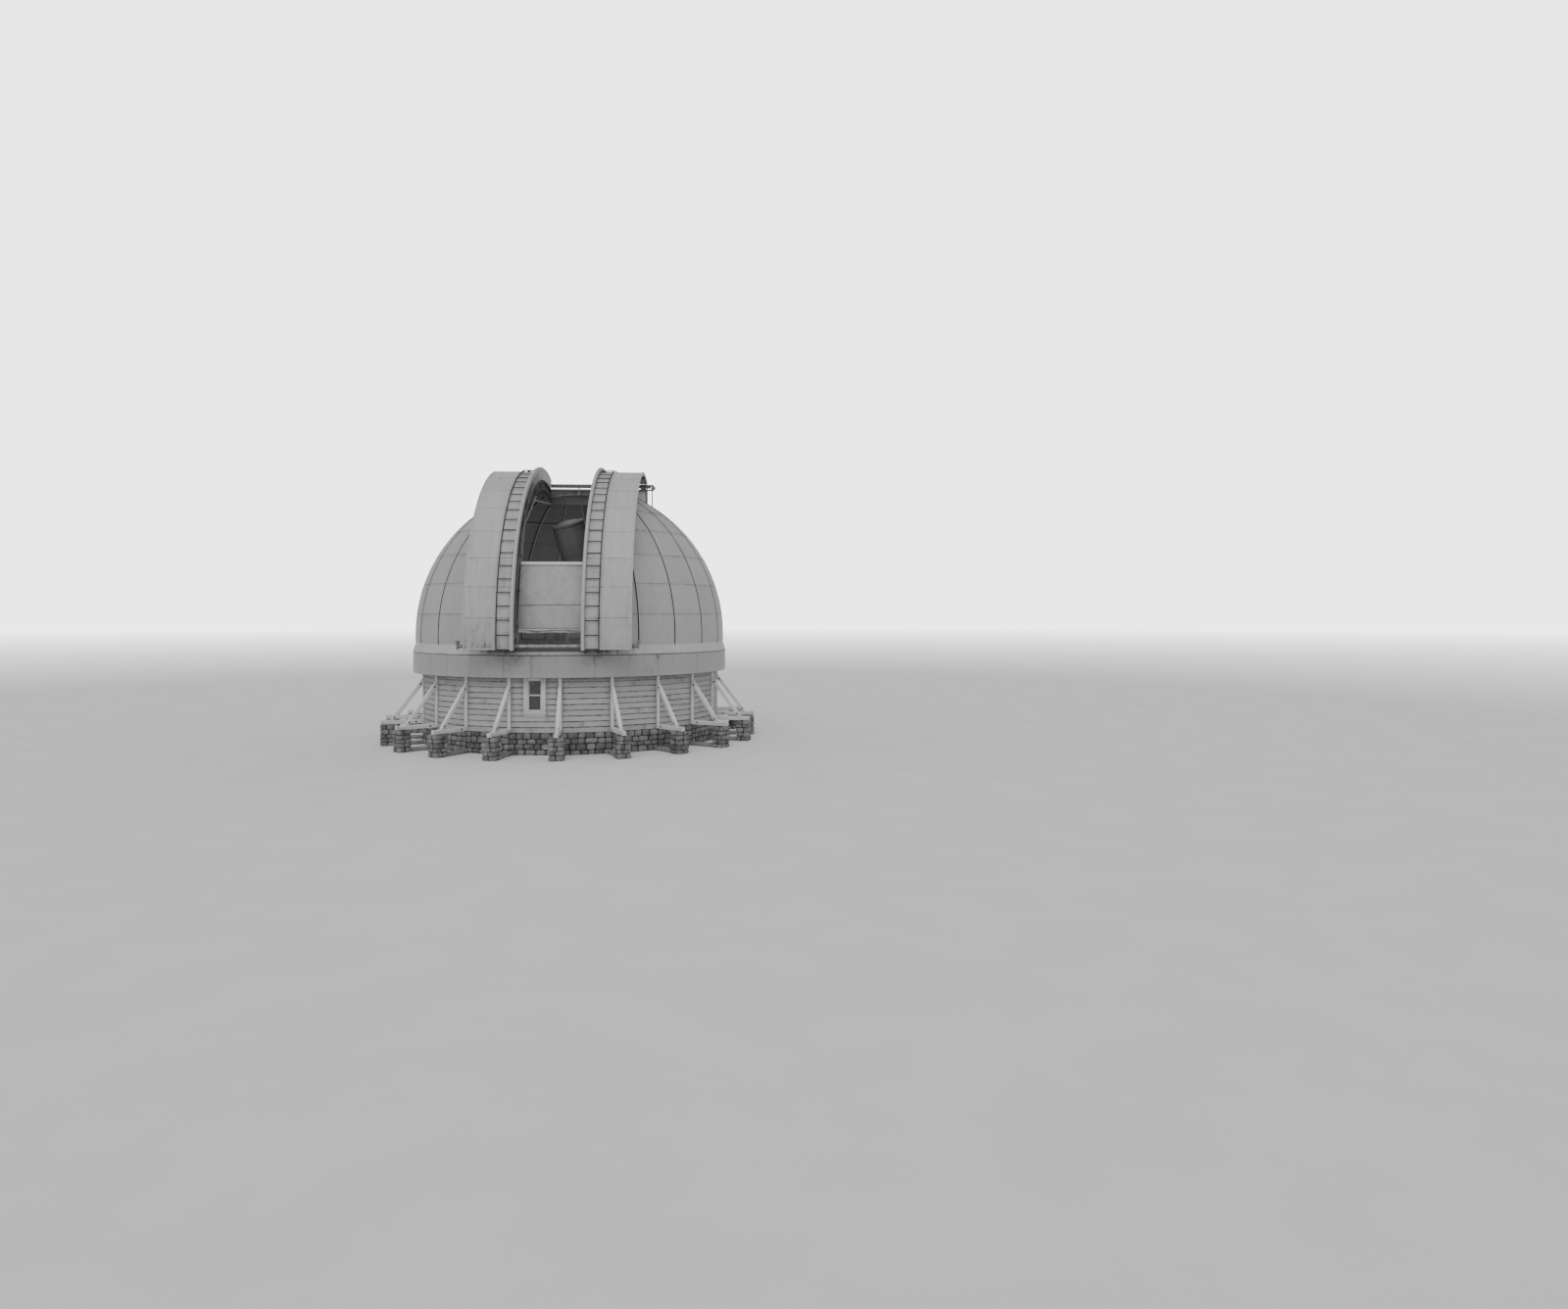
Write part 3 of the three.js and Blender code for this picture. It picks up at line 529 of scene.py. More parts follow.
# %% Stone, mortar and iron, and timber for solids
def stone_finish(name, low, middle, high, depth=0.006):
    """Rough field stone: mottled crystals, weathered patches and a pitted face, on the object's own coordinates."""
    f = Finish(name, specular=0.25)
    rock = f.where("Object")
    mottle = f.noise(rock, 26, 6, 0.3, 0.7)
    patches = f.noise(rock, 4.5, 4)
    pits = f.cells(rock, 60, 0.1, 0.7)
    lichen = f.noise(rock, 9, 6, 0.6, 0.7, 0.6)
    shade = f.shade(0.5, (mottle, 0.3), (patches, 0.3), (f.stored("tone"), 0.55), (lichen, 0.16), (pits, 0.14))
    shade = f.plus(shade, f.stored("grime"), -0.4)
    f.paint(shade, (0.0, low * 0.5), (1.0, high), (0.3, low), (0.65, middle))
    f.gloss(mottle, 0.8, 0.95)
    f.relief((mottle, depth), (pits, depth * 0.4))
    return f.material


def iron_finish(name, low, high, rust=0.25):
    """Iron with worn dark paint: rust comes through in spots, and handled edges are smoother."""
    f = Finish(name, metallic=0.35, specular=0.5)
    surface = f.where("Object")
    spots = f.noise(surface, 16, 5, 0.5, 0.68)
    fine = f.noise(surface, 85, 3)
    shade = f.shade(0.45, (spots, rust), (fine, 0.2), (f.stored("tone"), 0.2))
    f.paint(shade, (0.0, low * 0.6), (1.0, (high * 1.12, high * 0.98, high * 0.88)), (0.5, low))
    f.gloss(spots, 0.42, 0.8)
    f.relief((fine, 0.0008), (spots, 0.0006))
    return f.material


def solid_timber(name, low, high, stretch=(3, 3, 45)):
    """Timber for a solid without a UV map: grain drawn out along one of the object's own axes."""
    f = Finish(name, specular=0.25)
    grain = f.noise(f.where("Object", stretch), 1.0, 5)
    patches = f.noise(f.where("Object"), 1.7, 5)
    f.paint(f.shade(0.5, (grain, -0.5), (patches, 0.5)), (0.0, low), (1.0, high))
    f.gloss(patches, 0.6, 0.85)
    f.relief((grain, 0.0015))
    return f.material


LINING = solid_timber("lining_boards", 0.24, 0.4, (9, 9, 0.8))
CURB_TIMBER = solid_timber("curb_timber", 0.125, 0.18, (2, 2, 30))
STONE = stone_finish("field_stone", 0.13, 0.24, 0.36)
MORTAR = stone_finish("stone_bed", 0.035, 0.06, 0.1, 0.01)
IRON = iron_finish("dark_iron", 0.03, 0.1)
LADDER_IRON = iron_finish("ladder_iron", 0.02, 0.06)
SEAM_PAINT = iron_finish("seam_iron", 0.018, 0.045, 0.3)
TRACK_IRON = iron_finish("track_iron", 0.22, 0.34)
HANGER_IRON = iron_finish("hanger_iron", 0.19, 0.3)
TRACK_PAINT = sheet_finish("track_paint", 0.22, 0.31, 0.4, 0.4, 0.001)
# the apron's paint runs from dark to near white, for the painted light and shade that its sheets' tones carry, and its
# broken span keeps the painted shade smooth
APRON_PAINT = sheet_finish("apron_paint", 0.16, 0.42, 0.92, 0.12, 0.001, blotches=0.08, broken=(-1.0, 0.6))
# the inner ribs' paint is paler than the inner sheets', as painted light that evens out the shade on their visible side
RIB_PAINT = sheet_finish("rib_paint", 0.26, 0.33, 0.38, 0.2)
TUBE_PAINT = sheet_finish("instrument_paint", 0.11, 0.145, 0.18, 0.2, 0.0006, (0.45, 0.6))
print("materials with stone, iron and bare timber:", len(bpy.data.materials))


# %% Canvas and glass
def canvas_finish(name):
    """Plain-woven canvas: two sets of threads across each other, rain marks, and painted shade from the stored value:
    at the seam, under the top batten, at the edges and in the roll's creases.
    """
    f = Finish(name, specular=0.15, Sheen_Weight=0.25, Sheen_Roughness=0.5)
    threads = {"Vector": f.where("UV"), "Scale": 62.0, "Distortion": 0.6}
    warp, weft = (f.node("TexWave", threads, bands_direction=way).outputs["Fac"] for way in "XY")
    weave = f.product(warp, weft)
    marks = f.drawn(2.0, 1.1, 5, 0.35, 0.7, 0.4)
    shade = f.shade(0.55, (weave, 0.12), (marks, -0.22), (f.noise(f.where("UV"), 7, 4), 0.16), (f.stored("tone"), 0.3))
    shade = f.plus(shade, f.stored("grime"), -0.4)
    f.paint(shade, (0.0, 0.14), (1.0, 0.52), (0.35, 0.31), (0.65, 0.42))
    f.gloss(marks, 0.8, 0.95)
    f.relief((weave, 0.0012), (f.noise(f.where("UV"), 14, 3), 0.002))
    return f.material


CANVAS = canvas_finish("screen_canvas_cloth")


def glass_finish(name):
    """Old window glass over a dark room: smooth, slightly wavy and a little dusty, and mostly mirror."""
    f = Finish(name, roughness=0.06, specular=0.6, Coat_Weight=0.5, Coat_Roughness=0.03)
    waves = f.noise(f.where("Object"), 5, 2)
    dust = f.noise(f.where("Object"), 22, 4, 0.4, 0.8)
    f.paint(f.shade(0.4, (dust, 0.5)), (0.0, 0.02), (1.0, 0.075))
    f.relief((waves, 0.0015))
    return f.material


GLASS = glass_finish("window_glass")
print("materials in all:", len(bpy.data.materials))


# %% [markdown]
# ## The dome's sheets
#
# The dome is skinned in sheets, one gore between each pair of meridian seams, with level laps every 11 degrees.
# Each sheet's lower edge lies over the sheet below it. A lathe could turn a smooth dome, but the sheets need their
# own tones, their small steps and the slit. So a grid of azimuth and elevation is laid over the sphere, the radius
# steps at each lap, and the rows stop where they meet the slit's straight edges.

# %% Dome measures
CENTRE = 3.19
DOME = 4.6
SLIT = 0.9203
REAR = 1.3
FOOT_ANGLE = math.degrees(math.asin((2.9 - CENTRE) / DOME))
LAPS = np.array([FOOT_ANGLE, 7.5, 18.4, 29.5, 40.6, 51.7, 62.8, 73.9, 85.0])
SEAMS = np.arange(15.0, 346.0, 15.0)
print("meridian seams:", len(SEAMS), "courses of sheets:", len(LAPS) - 1)


def on_dome(radius, azimuth, elevation):
    """The point at (r cos e sin a, -r cos e cos a, centre + r sin e)."""
    e = np.radians(elevation)
    return on_plan(radius * np.cos(e), azimuth, CENTRE + radius * np.sin(e))


def slit_elevation(azimuth):
    """How high a meridian reaches: cos e = half width / (R |sin a|) at the slit's side, or rear / (R cos) behind it."""
    a = np.radians(azimuth)
    side = SLIT / (DOME * np.maximum(np.abs(np.sin(a)), 1e-6))
    back = REAR / (DOME * np.maximum(-np.cos(a), 1e-6))
    at_back = -np.cos(a) * SLIT > np.abs(np.sin(a)) * REAR
    return np.degrees(np.arccos(np.clip(np.where(at_back, back, side), 0, 1)))


# %% Dome sheets
def dome_sheets():
    """Radius R - 4.5 mm * share of the way up the sheet, less a few millimetres of noise where it is dented."""
    rng = np.random.default_rng(11)
    first = math.degrees(math.asin(SLIT / (DOME * math.cos(math.radians(FOOT_ANGLE)))))
    share = np.array([0.0, 0.012, 0.06, 0.18, 0.34, 0.5, 0.66, 0.82, 0.94, 0.988, 1.0])
    elevations = (LAPS[:-1, None] + np.diff(LAPS)[:, None] * share).ravel()
    heights = np.tile(share, len(LAPS) - 1)
    course = np.repeat(np.arange(len(LAPS) - 1), len(share))
    reach = SLIT / (DOME * np.cos(np.radians(elevations[elevations > 0.2 - FOOT_ANGLE])))
    edges = np.degrees(np.arcsin(reach[reach < 1]))
    half = np.unique(np.round(np.concatenate([[first, 180], np.arange(12, 180, 1.5), edges[edges < 90]]), 4))
    half = half[np.concatenate([[True], np.diff(half) > 0.05])]
    azimuths = np.concatenate([half, (360 - half[:-1])[::-1]])
    top = slit_elevation(azimuths)[None, :]
    e = np.minimum(elevations[:, None], top)
    a = np.broadcast_to(azimuths, e.shape)
    at = on_dome(DOME, a, e)
    beside = np.abs((a + 7.5) % 15 - 7.5) * np.radians(1) * DOME * np.cos(np.radians(e))
    dent = swell(at, 0.75, 3) * 0.006 + swell(at, 0.28, 4) * 0.0016
    dent = dent * np.clip((beside - 0.03) / 0.12, 0, 1)
    lap = 0.0045 * heights[:, None] - 0.0006
    front = on_dome(DOME - lap - dent, a, e)
    back = on_dome(DOME - 0.014, a, e)
    uv = np.stack([np.radians(a) * DOME, np.radians(e) * DOME], -1)
    # Grime and painted shade at the points: dirt and painted shade at each lap, under the sheet above; grime beside the
    # seams; darker at the foot and along the slit's edges; and painted shade over the upper right of the dome, the side
    # turned from the light.
    near_lap = np.where(heights > 0.97, 0.75, np.where(heights < 0.005, 0.5, np.where(heights > 0.9, 0.2, 0.05)))
    grime = near_lap[:, None] + 0.5 * np.clip(1 - beside / 0.05, 0, 1) + 0.4 * (e < FOOT_ANGLE + 0.6)
    grime = grime + 0.35 * (top - e < 0.8) * (np.abs(a - 180) > 36)
    grime = grime + 0.3 * np.clip((a - 30) / 30, 0, 1) * (a < 180) * np.clip((e - 35) / 20, 0, 1)
    points, groups, uvs = slab(front, back, uv)
    gore = (azimuths[:-1] // 15).astype(int)
    tones = rng.uniform(0.22, 0.78, (24, len(LAPS)))[gore[None, :], course[:-1, None]]
    keep = (np.diff(e, axis=0)[:, :-1] + np.diff(e, axis=0)[:, 1:] > 1e-7).ravel()
    groups = [groups[0][keep], groups[1][keep], groups[2]]
    uvs = [uvs[0][keep], uvs[1][keep], uvs[2]]
    return Parts().add(points, groups, uvs, tones.ravel()[keep], grime, (0, 1, 0))


SHELLS = [f"shell_{side}_{part}" for side in ("right", "left") for part in ("front", "side", "rear")]
place(dome_sheets(), "dome_sheets", [DOME_PAINT, INNER_PAINT], "dome", SHELLS, 20, 1e-5)

# %% [markdown]
# The seams between the gores show as dark lines with a paler strip on each side: a narrow iron cap over two folded
# edges. A profile carried up each meridian gives both, and it ends where the slit cuts the meridian.


# %% Meridian seams
def meridian_bars(profile, radius, azimuths, foot, inset=0.4, steps=44, **look):
    """A profile of (across, out) carried along the arc of elevation from the foot to the slit at each azimuth."""
    parts = Parts()
    for azimuth in azimuths:
        e = np.linspace(foot, float(slit_elevation(azimuth)) - inset, steps)
        across = plan_axes(azimuth)[0]
        out = unit(on_dome(1.0, azimuth, e) - [0, 0, CENTRE])
        parts.add(*carried(profile, on_dome(radius, azimuth, e), across, out, (azimuth, 0)), **look)
    return parts


cap_profile = mm((-22, -3), (22, -3), (22, 5), (15, 12), (0, 15), (-15, 12), (-22, 5))
fold_profile = mm((-37, -6), (37, -6), (37, 1), (33, 4.5), (-33, 4.5), (-37, 1))
caps = meridian_bars(cap_profile, DOME, SEAMS, FOOT_ANGLE + 0.1)
place(caps, "seam_caps", [SEAM_PAINT], "dome", (), 50)
folds = meridian_bars(fold_profile, DOME, SEAMS, FOOT_ANGLE, tone=0.85)
place(folds, "seam_folds", [FLASHING_PAINT], "dome", (), 40)

INNER_FACE = DOME - 0.0145
rib_profile = mm((-22, -62), (22, -62), (22, -54), (4, -54), (4, 0), (-4, 0), (-4, -54), (-22, -54))
inner_ribs = meridian_bars(rib_profile, INNER_FACE, SEAMS, FOOT_ANGLE + 0.5)


def purlins(parts, elevations):
    """Level rings of angle iron inside the dome, each an arc of azimuth that stops at the slit."""
    section = mm((-18, -40), (18, -40), (18, -32), (-10, -32), (-10, 0), (-18, 0))
    for e in elevations:
        reach = DOME * math.cos(math.radians(e))
        start = math.degrees(math.asin(min(1, (SLIT + 0.01) / reach)))
        a = np.linspace(start, 360 - start, 160)
        out = unit(on_dome(1.0, a, e) - [0, 0, CENTRE])
        along = plan_axes(a)[0]
        parts.add(*carried(section, on_dome(INNER_FACE, a, e), np.cross(out, along), out, (e, 0)))
    return parts


place(purlins(inner_ribs, [7.5, 29.5, 51.7]), "inner_ribs", [RIB_PAINT], "dome", (), 40)

# %% [markdown]
# ## The skirt and the flashing
#
# A band of sheet metal hangs from the dome over the top of the wall. Its sheets overlap like the dome's, on upright
# laps, and years of weather have left it wavy and streaked, most of all below the shutters, where painted shade
# also falls. A sloped flashing throws the rain clear of it, and carries painted shade under the shutters and the
# track. Both are rings: a function of azimuth and height, closed round the object.

# %% Skirt
GIRTH = 4.65
SKIRT_LAPS = [-49, -39, -28.1, -15.5, -6.3, 14.4, 36.8, 55, 73, 91, 109, 128, 146, 164, 182, 199, 217]
SKIRT_LAPS = np.sort(np.array([*SKIRT_LAPS, 236, 254, 272, 290]) % 360)


def ring_shares(laps, a):
    """For each azimuth: which sheet it is on, how far along that sheet it lies, and how wide the sheet is."""
    nodes = np.concatenate([[laps[-1] - 360], laps, [laps[0] + 360]])
    i = np.clip(np.searchsorted(nodes, a, "right") - 1, 0, len(nodes) - 2)
    wide = nodes[i + 1] - nodes[i]
    return i, (a - nodes[i]) / wide, wide


def ring_sheet(profile, laps, seed, wave, step, tone_span, stain_and_shade):
    """A ring: profile (radius, height) turned through the azimuth, with radius + step * share - wave * noise."""
    profile = np.asarray(profile, float)
    fine = np.concatenate([np.arange(0, 360, 1.25), laps - 0.04, laps + 0.04, laps - 0.35])
    a = np.unique(np.round(fine % 360, 4))
    sheet, share, wide = ring_shares(laps, a)
    r, z, aa = np.broadcast_arrays(profile[:, :1], profile[:, 1:], a)
    at = on_plan(r, aa, z)
    dent = wave * swell(at * [1, 1, 0.6], 0.9, seed) + 0.3 * wave * swell(at, 0.3, seed + 1)
    front = on_plan(r - step * (1 - share) - dent, aa, z)
    uv = np.stack(np.broadcast_arrays(np.radians(aa) * GIRTH, travelled(profile)[:, None]), -1)
    faces = grid_faces(*r.shape, round_rows=True, round_columns=True)
    corner_uv = uv.reshape(-1, 2)[faces]
    wrapped = corner_uv[..., 0].max(1) - corner_uv[..., 0].min(1) > 10
    u = corner_uv[wrapped, :, 0]
    corner_uv[wrapped, :, 0] = np.where(u < 10, u + 2 * np.pi * GIRTH, u)
    grime = 0.55 * np.clip(1 - share * wide / 0.4, 0, 1) + 0 * r
    tones = np.random.default_rng(seed).uniform(*tone_span, len(laps) + 2)[sheet]
    tone = tones[np.arange(len(faces)) % len(a)]
    return front.reshape(-1, 3), [faces], [corner_uv], tone, np.clip(grime + stain_and_shade(aa, z), 0, 4)


def skirt_stain_and_shade(a, z):
    """Drip stains and painted shade under the shutters' lower corners, fading downwards, painted shade below the slit
    and along the top under the flashing, and darker along the bottom hem.
    """
    a = (a + 180) % 360 - 180
    # drip stains and painted shade under the shutters' lower corners
    drip = 1.2 * hump(a, -12, 5.5) + 0.65 * hump(a, 13, 5) + 0.55 * hump(a, 37, 1.5)
    shade = 0.75 * drip * np.clip((z - 2.2) / 0.45, 0, 1) + 0.2 * hump(a, 0, 24)
    # painted shade along the top, in the gap under the flashing's drip edge; darker along the bottom hem
    return shade + 0.5 * (z < 2.094) + 1.3 * (z > 2.67)


skirt_profile = [(4.658, 2.69), (4.658, 2.086), (4.664, 2.081), (4.678, 2.081), (4.686, 2.088), (4.686, 2.104)]
skirt_profile += [(4.6825, z) for z in (2.116, 2.2, 2.3, 2.4, 2.5, 2.6, 2.655, 2.68)]
skirt = Parts().add(*ring_sheet(skirt_profile, SKIRT_LAPS, 382, 0.007, 0.003, (0.3, 0.66), skirt_stain_and_shade))
place(skirt, "skirt_sheets", [SKIRT_PAINT], "dome", ["dome_skirt"], 30)

FLASHING_LAPS = np.sort(np.array([-58, -31, -3, 22, 47, 74, 101, 129, 157, 184, 212, 240, 267, 290]) % 360)
flashing_profile = [(4.6015, 2.96), (4.6015, 2.885), (4.668, 2.69), (4.676, 2.672), (4.682, 2.672), (4.6855, 2.68)]
flashing_profile += [(4.6855, 2.692), (4.6831, 2.7), (4.668, 2.752), (4.6586, 2.781), (4.6556, 2.79)]
flashing_profile += [(4.646, 2.82), (4.626, 2.882), (4.606, 2.912), (4.604, 2.96)]


def flashing_painted_shade(a, z):
    """Painted shade in the gap along the drip edge and in the shade of the shutters, darkest in the painted shadow
    under the track in front, over a slight darkening everywhere.
    """
    a = (a + 180) % 360 - 180
    # painted shadow under the bottom track, in front of the slit
    under = 1.6 * (z > 2.785) * (np.abs(a) < 11.5)
    reach = np.clip((28 - np.abs(a)) / 8, 0, 1) * (0.35 + 0.65 * np.clip(np.abs(a) / 12, 0, 1) ** 2)
    return 0.12 + reach * np.interp(z, [2.7, 2.74, 2.79], [0.6, 0.95, 1.1]) + under + 1.1 * (z < 2.695)


flashing = Parts().add(*ring_sheet(flashing_profile, FLASHING_LAPS, 31, 0.002, 0.001, (0.4, 0.7), flashing_painted_shade))
place(flashing, "flashing", [FLASHING_PAINT], "dome", (), 30)

# %% Rivets down each lap of the skirt
rivet_rows = np.linspace(2.14, 2.63, 7)
rivet_a = np.repeat(SKIRT_LAPS + 0.32, len(rivet_rows))
rivet_z = np.tile(rivet_rows, len(SKIRT_LAPS))


def domed_heads(centres, out, up, radius, height, around=8):
    """Round heads: three rings, at (1, -0.4), (1, 0.15) and (0.72, 0.75) of the radius and height, and a tip."""
    out, up = np.broadcast_to(out, centres.shape), np.broadcast_to(up, centres.shape)
    side = np.cross(up, out)
    turn = circle(around)
    spots = []
    for share, lift in ((1.0, -0.4), (1.0, 0.15), (0.72, 0.75)):
        ring = turn[:, :1] * side[:, None] + turn[:, 1:] * up[:, None]
        spots.append(centres[:, None] + share * radius * ring + lift * height * out[:, None])
    tip = (centres + height * out)[:, None]
    points = np.concatenate([*spots, tip], 1)
    wall = grid_faces(3, around, round_columns=True)
    k = np.arange(around)
    lid = np.stack([2 * around + k, 2 * around + (k + 1) % around, np.full(around, 3 * around)], -1)
    bottom = k[None, ::-1]
    shift = (3 * around + 1) * np.arange(len(centres))[:, None, None]
    groups = [(f[None] + shift).reshape(-1, f.shape[1]) for f in (wall, lid, bottom)]
    return points, groups, [np.zeros((len(g), g.shape[1], 2)) for g in groups]


across, outward, up = plan_axes(rivet_a)
heads = Parts().add(*domed_heads(on_plan(4.679, rivet_a, rivet_z), outward, up, 0.011, 0.006))
place(heads, "skirt_rivets", [SKIRT_PAINT], "dome", (), 60)


# %% [markdown]
# ## The weatherboard wall
#
# Twenty flat bays of lapped boards stand between the corner posts. A real board is a long plank set a little
# aslant, with its lower edge proud of the board below. A bump pattern could draw the lines, but only real boards
# throw the shadow that shows in the photograph, and painted shade under each lap deepens it. So each board is a
# wedge-shaped profile carried along its bay.

# %% Wall boards
BAYS = 20
FIRST_POST = 3.2
POSTS = FIRST_POST + 18.0 * np.arange(BAYS)
BAY_HALF = math.radians(9)
WALL_FACE = 4.39 * math.cos(BAY_HALF)
EXPOSURE = 0.153
BOARDS_FOOT = 0.6
WINDOW_BAYS = (19, 9)


def bay_board(parts, azimuth, row, start, end, rng):
    """A wedge 34 mm thick at its lower edge and 10 mm at the top, carried from start to end along the bay."""
    z = BOARDS_FOOT + EXPOSURE * row
    top = min(EXPOSURE + 0.016, 2.262 - z)
    tall = top / 0.001
    s = np.linspace(start, end, max(2, int((end - start) / 0.14)))
    across, outward, _ = plan_axes(azimuth)
    base = on_plan(WALL_FACE, azimuth, z)
    path = base + s[:, None] * across
    drop = noise(path, 0.5, 77 + row)[:, None] * 0.0014
    path = path + Z * drop
    lean = 10 + 24 * (1 - top / (EXPOSURE + 0.016))
    bend = lean + (33.4 - lean) * 0.05 / top
    upper = (bend, tall - 50), (bend - 0.8, tall - 44), (lean, tall), (1, tall)
    profile = mm((1, 0.5), (31, -1.5), (34, 1), (33.4, 5), *upper)
    board = carried(profile, path, outward, Z, rng.uniform(0, 9, 2))
    # Painted shade under each board's lower edge and in the strip just below the next board's lap; on row 9, just under
    # the skirt, painted shadow of the skirt; the lowest row a little darker.
    shade = 1.6 if row == 9 else 0.1
    grime = np.array([0.6, 1.2, 1.05, 0.12, shade, 1.35, 1.4, 0.6])
    parts.add(*board, rng.uniform(0.25, 0.75), grime + 0.25 * (row == 0))


def wall_boards():
    """Boards from the footing to the plate in each bay; beside a window they stop at its casing."""
    rng = np.random.default_rng(5)
    parts = Parts()
    for bay in range(BAYS):
        azimuth = FIRST_POST + 18 * bay + 9
        for row in range(11):
            z = BOARDS_FOOT + EXPOSURE * row
            ends = [(-0.655, 0.655)]
            if bay in WINDOW_BAYS and 1.04 < z < 2.1:
                ends = [(-0.655, -0.296), (0.296, 0.655)]
            elif rng.random() < 0.3:
                cut = rng.uniform(-0.35, 0.35)
                ends = [(-0.655, cut - 0.001), (cut + 0.001, 0.655)]
            for start, end in ends:
                bay_board(parts, azimuth, row, start, end, rng)
    return parts


place(wall_boards(), "wall_boards", [WALL_PAINT], "house", (), 0)

# %% [markdown]
# ## The braced frame
#
# A post at each corner of the wall, an outrigger at its foot and a raking strut between them keep the light wall
# stiff under the heavy dome. They are sawn timbers with eased edges under pale paint. The struts are cut to lie flat
# on the outrigger and against the post, so their two ends are sheared, and the profile stays square to the strut.


# %% Posts, outriggers, struts and plate
def timber_profile(half_width, half_depth, bevel=0.007):
    """A rectangle with its four edges cut off."""
    w, d, b = half_width, half_depth, bevel
    x = [b - w, w - b, w, w, w - b, b - w, -w, -w]
    y = [-d, -d, b - d, d - b, d, d, d - b, b - d]
    return np.stack([x, y], -1)


def strut(azimuth, rng):
    """The axis runs from the post's face to the outrigger's top. At each end the profile is sheared along the face
    that it meets: out_i = e / (n . e), where n is square to the axis and e lies in the face."""
    across, outward, up = plan_axes(azimuth)
    head = on_plan(4.4405, azimuth, 1.82)
    foot = on_plan(5.28, azimuth, 0.7205)
    axis = unit(foot - head)
    square = np.cross(axis, across)
    s = np.linspace(0, 1, 9)
    path = head + s[:, None] * (foot - head)
    bow = noise(path, 1.1, 9)[:, None] * 0.004 * np.sin(np.pi * s)[:, None]
    out = np.broadcast_to(square, path.shape).copy()
    out[0] = up / (square @ up)
    out[-1] = outward / (square @ outward)
    return carried(timber_profile(0.0475, 0.0475), path + bow * across, across, out, rng.uniform(0, 9, 2))


def braced_frame():
    """A post, an outrigger and a strut at each corner, each bowed by a few millimetres of noise, and the plate."""
    rng = np.random.default_rng(8)
    parts = Parts()
    for azimuth in POSTS:
        across, outward, up = plan_axes(azimuth)
        z = np.linspace(0.7195, 2.31, 9)
        path = on_plan(4.414, azimuth, z) + noise(on_plan(4.4, azimuth, z), 0.6, 6)[:, None] * 0.002 * across
        post = carried(timber_profile(0.046, 0.026), path, across, outward, rng.uniform(0, 9, 2))
        parts.add(*post, rng.uniform(0.3, 0.7), np.repeat(0.55 * np.exp(-(z - 0.72) / 0.2), 8))
        r = np.linspace(4.375, 5.58, 8)
        path = on_plan(r, azimuth, 0.66) + noise(on_plan(r, azimuth, 0.6), 0.5, 7)[:, None] * 0.0015 * across
        outrigger = carried(timber_profile(0.055, 0.0595, 0.009), path, across, up, rng.uniform(0, 9, 2))
        grime = [0.8, 0.8, 0.5, 0.2, 0.15, 0.15, 0.2, 0.5] + 0.4 * (r > 5.55)[:, None]
        parts.add(*outrigger, rng.uniform(0.3, 0.7), grime)
        raking = strut(azimuth, rng)
        grime = np.repeat([0.3, 0.1, 0, 0, 0, 0.05, 0.1, 0.3, 0.8], 8)
        parts.add(*raking, rng.uniform(0.35, 0.75), grime)
    a = np.append(POSTS, POSTS[0] + 360)
    ring = timber_profile(0.078, 0.0295)
    for first, last in zip(a[:-1], a[1:]):
        ends = on_plan(4.36, np.array([first, last]), 2.3)
        out = plan_axes(np.array([first, last]))[1]
        parts.add(*carried(ring, ends, out, Z, rng.uniform(0, 9, 2)), rng.uniform(0.3, 0.6), 0.4)
    return parts


TIMBER_NODES = [f"timber_frame_{side}" for side in ("front", "right", "rear", "left")]
place(braced_frame(), "braced_frame", [BRACE_PAINT], "house", TIMBER_NODES, 25)


# %% Bolts through the braces
def bolts():
    """Coach bolts with square washers, on both sides of each strut near its head and its foot."""
    parts = Parts()
    centres, outs, ups = [], [], []
    for azimuth in POSTS:
        across, outward, up = plan_axes(azimuth)
        for r, z in ((4.50, 1.745), (5.215, 0.80), (4.62, 0.66)):
            for side in (-1, 1):
                half = 0.0475 if z > 0.7 else 0.055
                centres.append(on_plan(r, azimuth, z) + side * half * across)
                outs.append(side * across)
                ups.append(up)
    centres, outs, ups = np.array(centres), np.array(outs), np.array(ups)
    axes = np.stack([outs, np.cross(ups, outs), ups], 1)
    parts.add(*blocks(centres + 0.001 * outs, (0.003, 0.022, 0.022), 0.001, axes))
    return parts.add(*domed_heads(centres + 0.003 * outs, outs, ups, 0.014, 0.012))


place(bolts(), "brace_bolts", [IRON], "house", (), 40)

# %% [markdown]
# ## The stone footing and the piers
#
# Twenty piers of field stone carry the outriggers, and a low course of the same stone stands under the wall. The
# stones are rough and laid without much mortar. Each is a cube's grid of points pushed out into a rounded block, and
# roughened by noise. A dark bed stands just behind the stones and shows in the joints.


# %% Stones
def stone_pattern(cuts=4):
    """A cube's surface as a grid of points on [-1, 1], shared along its edges, with faces that look outwards."""
    steps = np.linspace(-1, 1, cuts)
    u, v = np.meshgrid(steps, steps, indexing="ij")
    sides, faces = [], []
    for axis in range(3):
        for sign in (-1, 1):
            side = np.zeros((cuts, cuts, 3))
            side[..., axis], side[..., (axis + 1) % 3], side[..., (axis + 2) % 3] = sign, u, v
            quads = grid_faces(cuts, cuts)
            sides.append(side.reshape(-1, 3))
            faces.append((quads if sign < 0 else quads[:, ::-1]) + len(sides[:-1]) * cuts * cuts)
    points, back = np.unique(np.round(np.concatenate(sides), 6), axis=0, return_inverse=True)
    return points, back.ravel()[np.concatenate(faces)]


STONE_POINTS, STONE_FACES = stone_pattern()
FOOTING_TOP = 0.597
FOOTING_CORNER = 4.45
PIER = 5.4


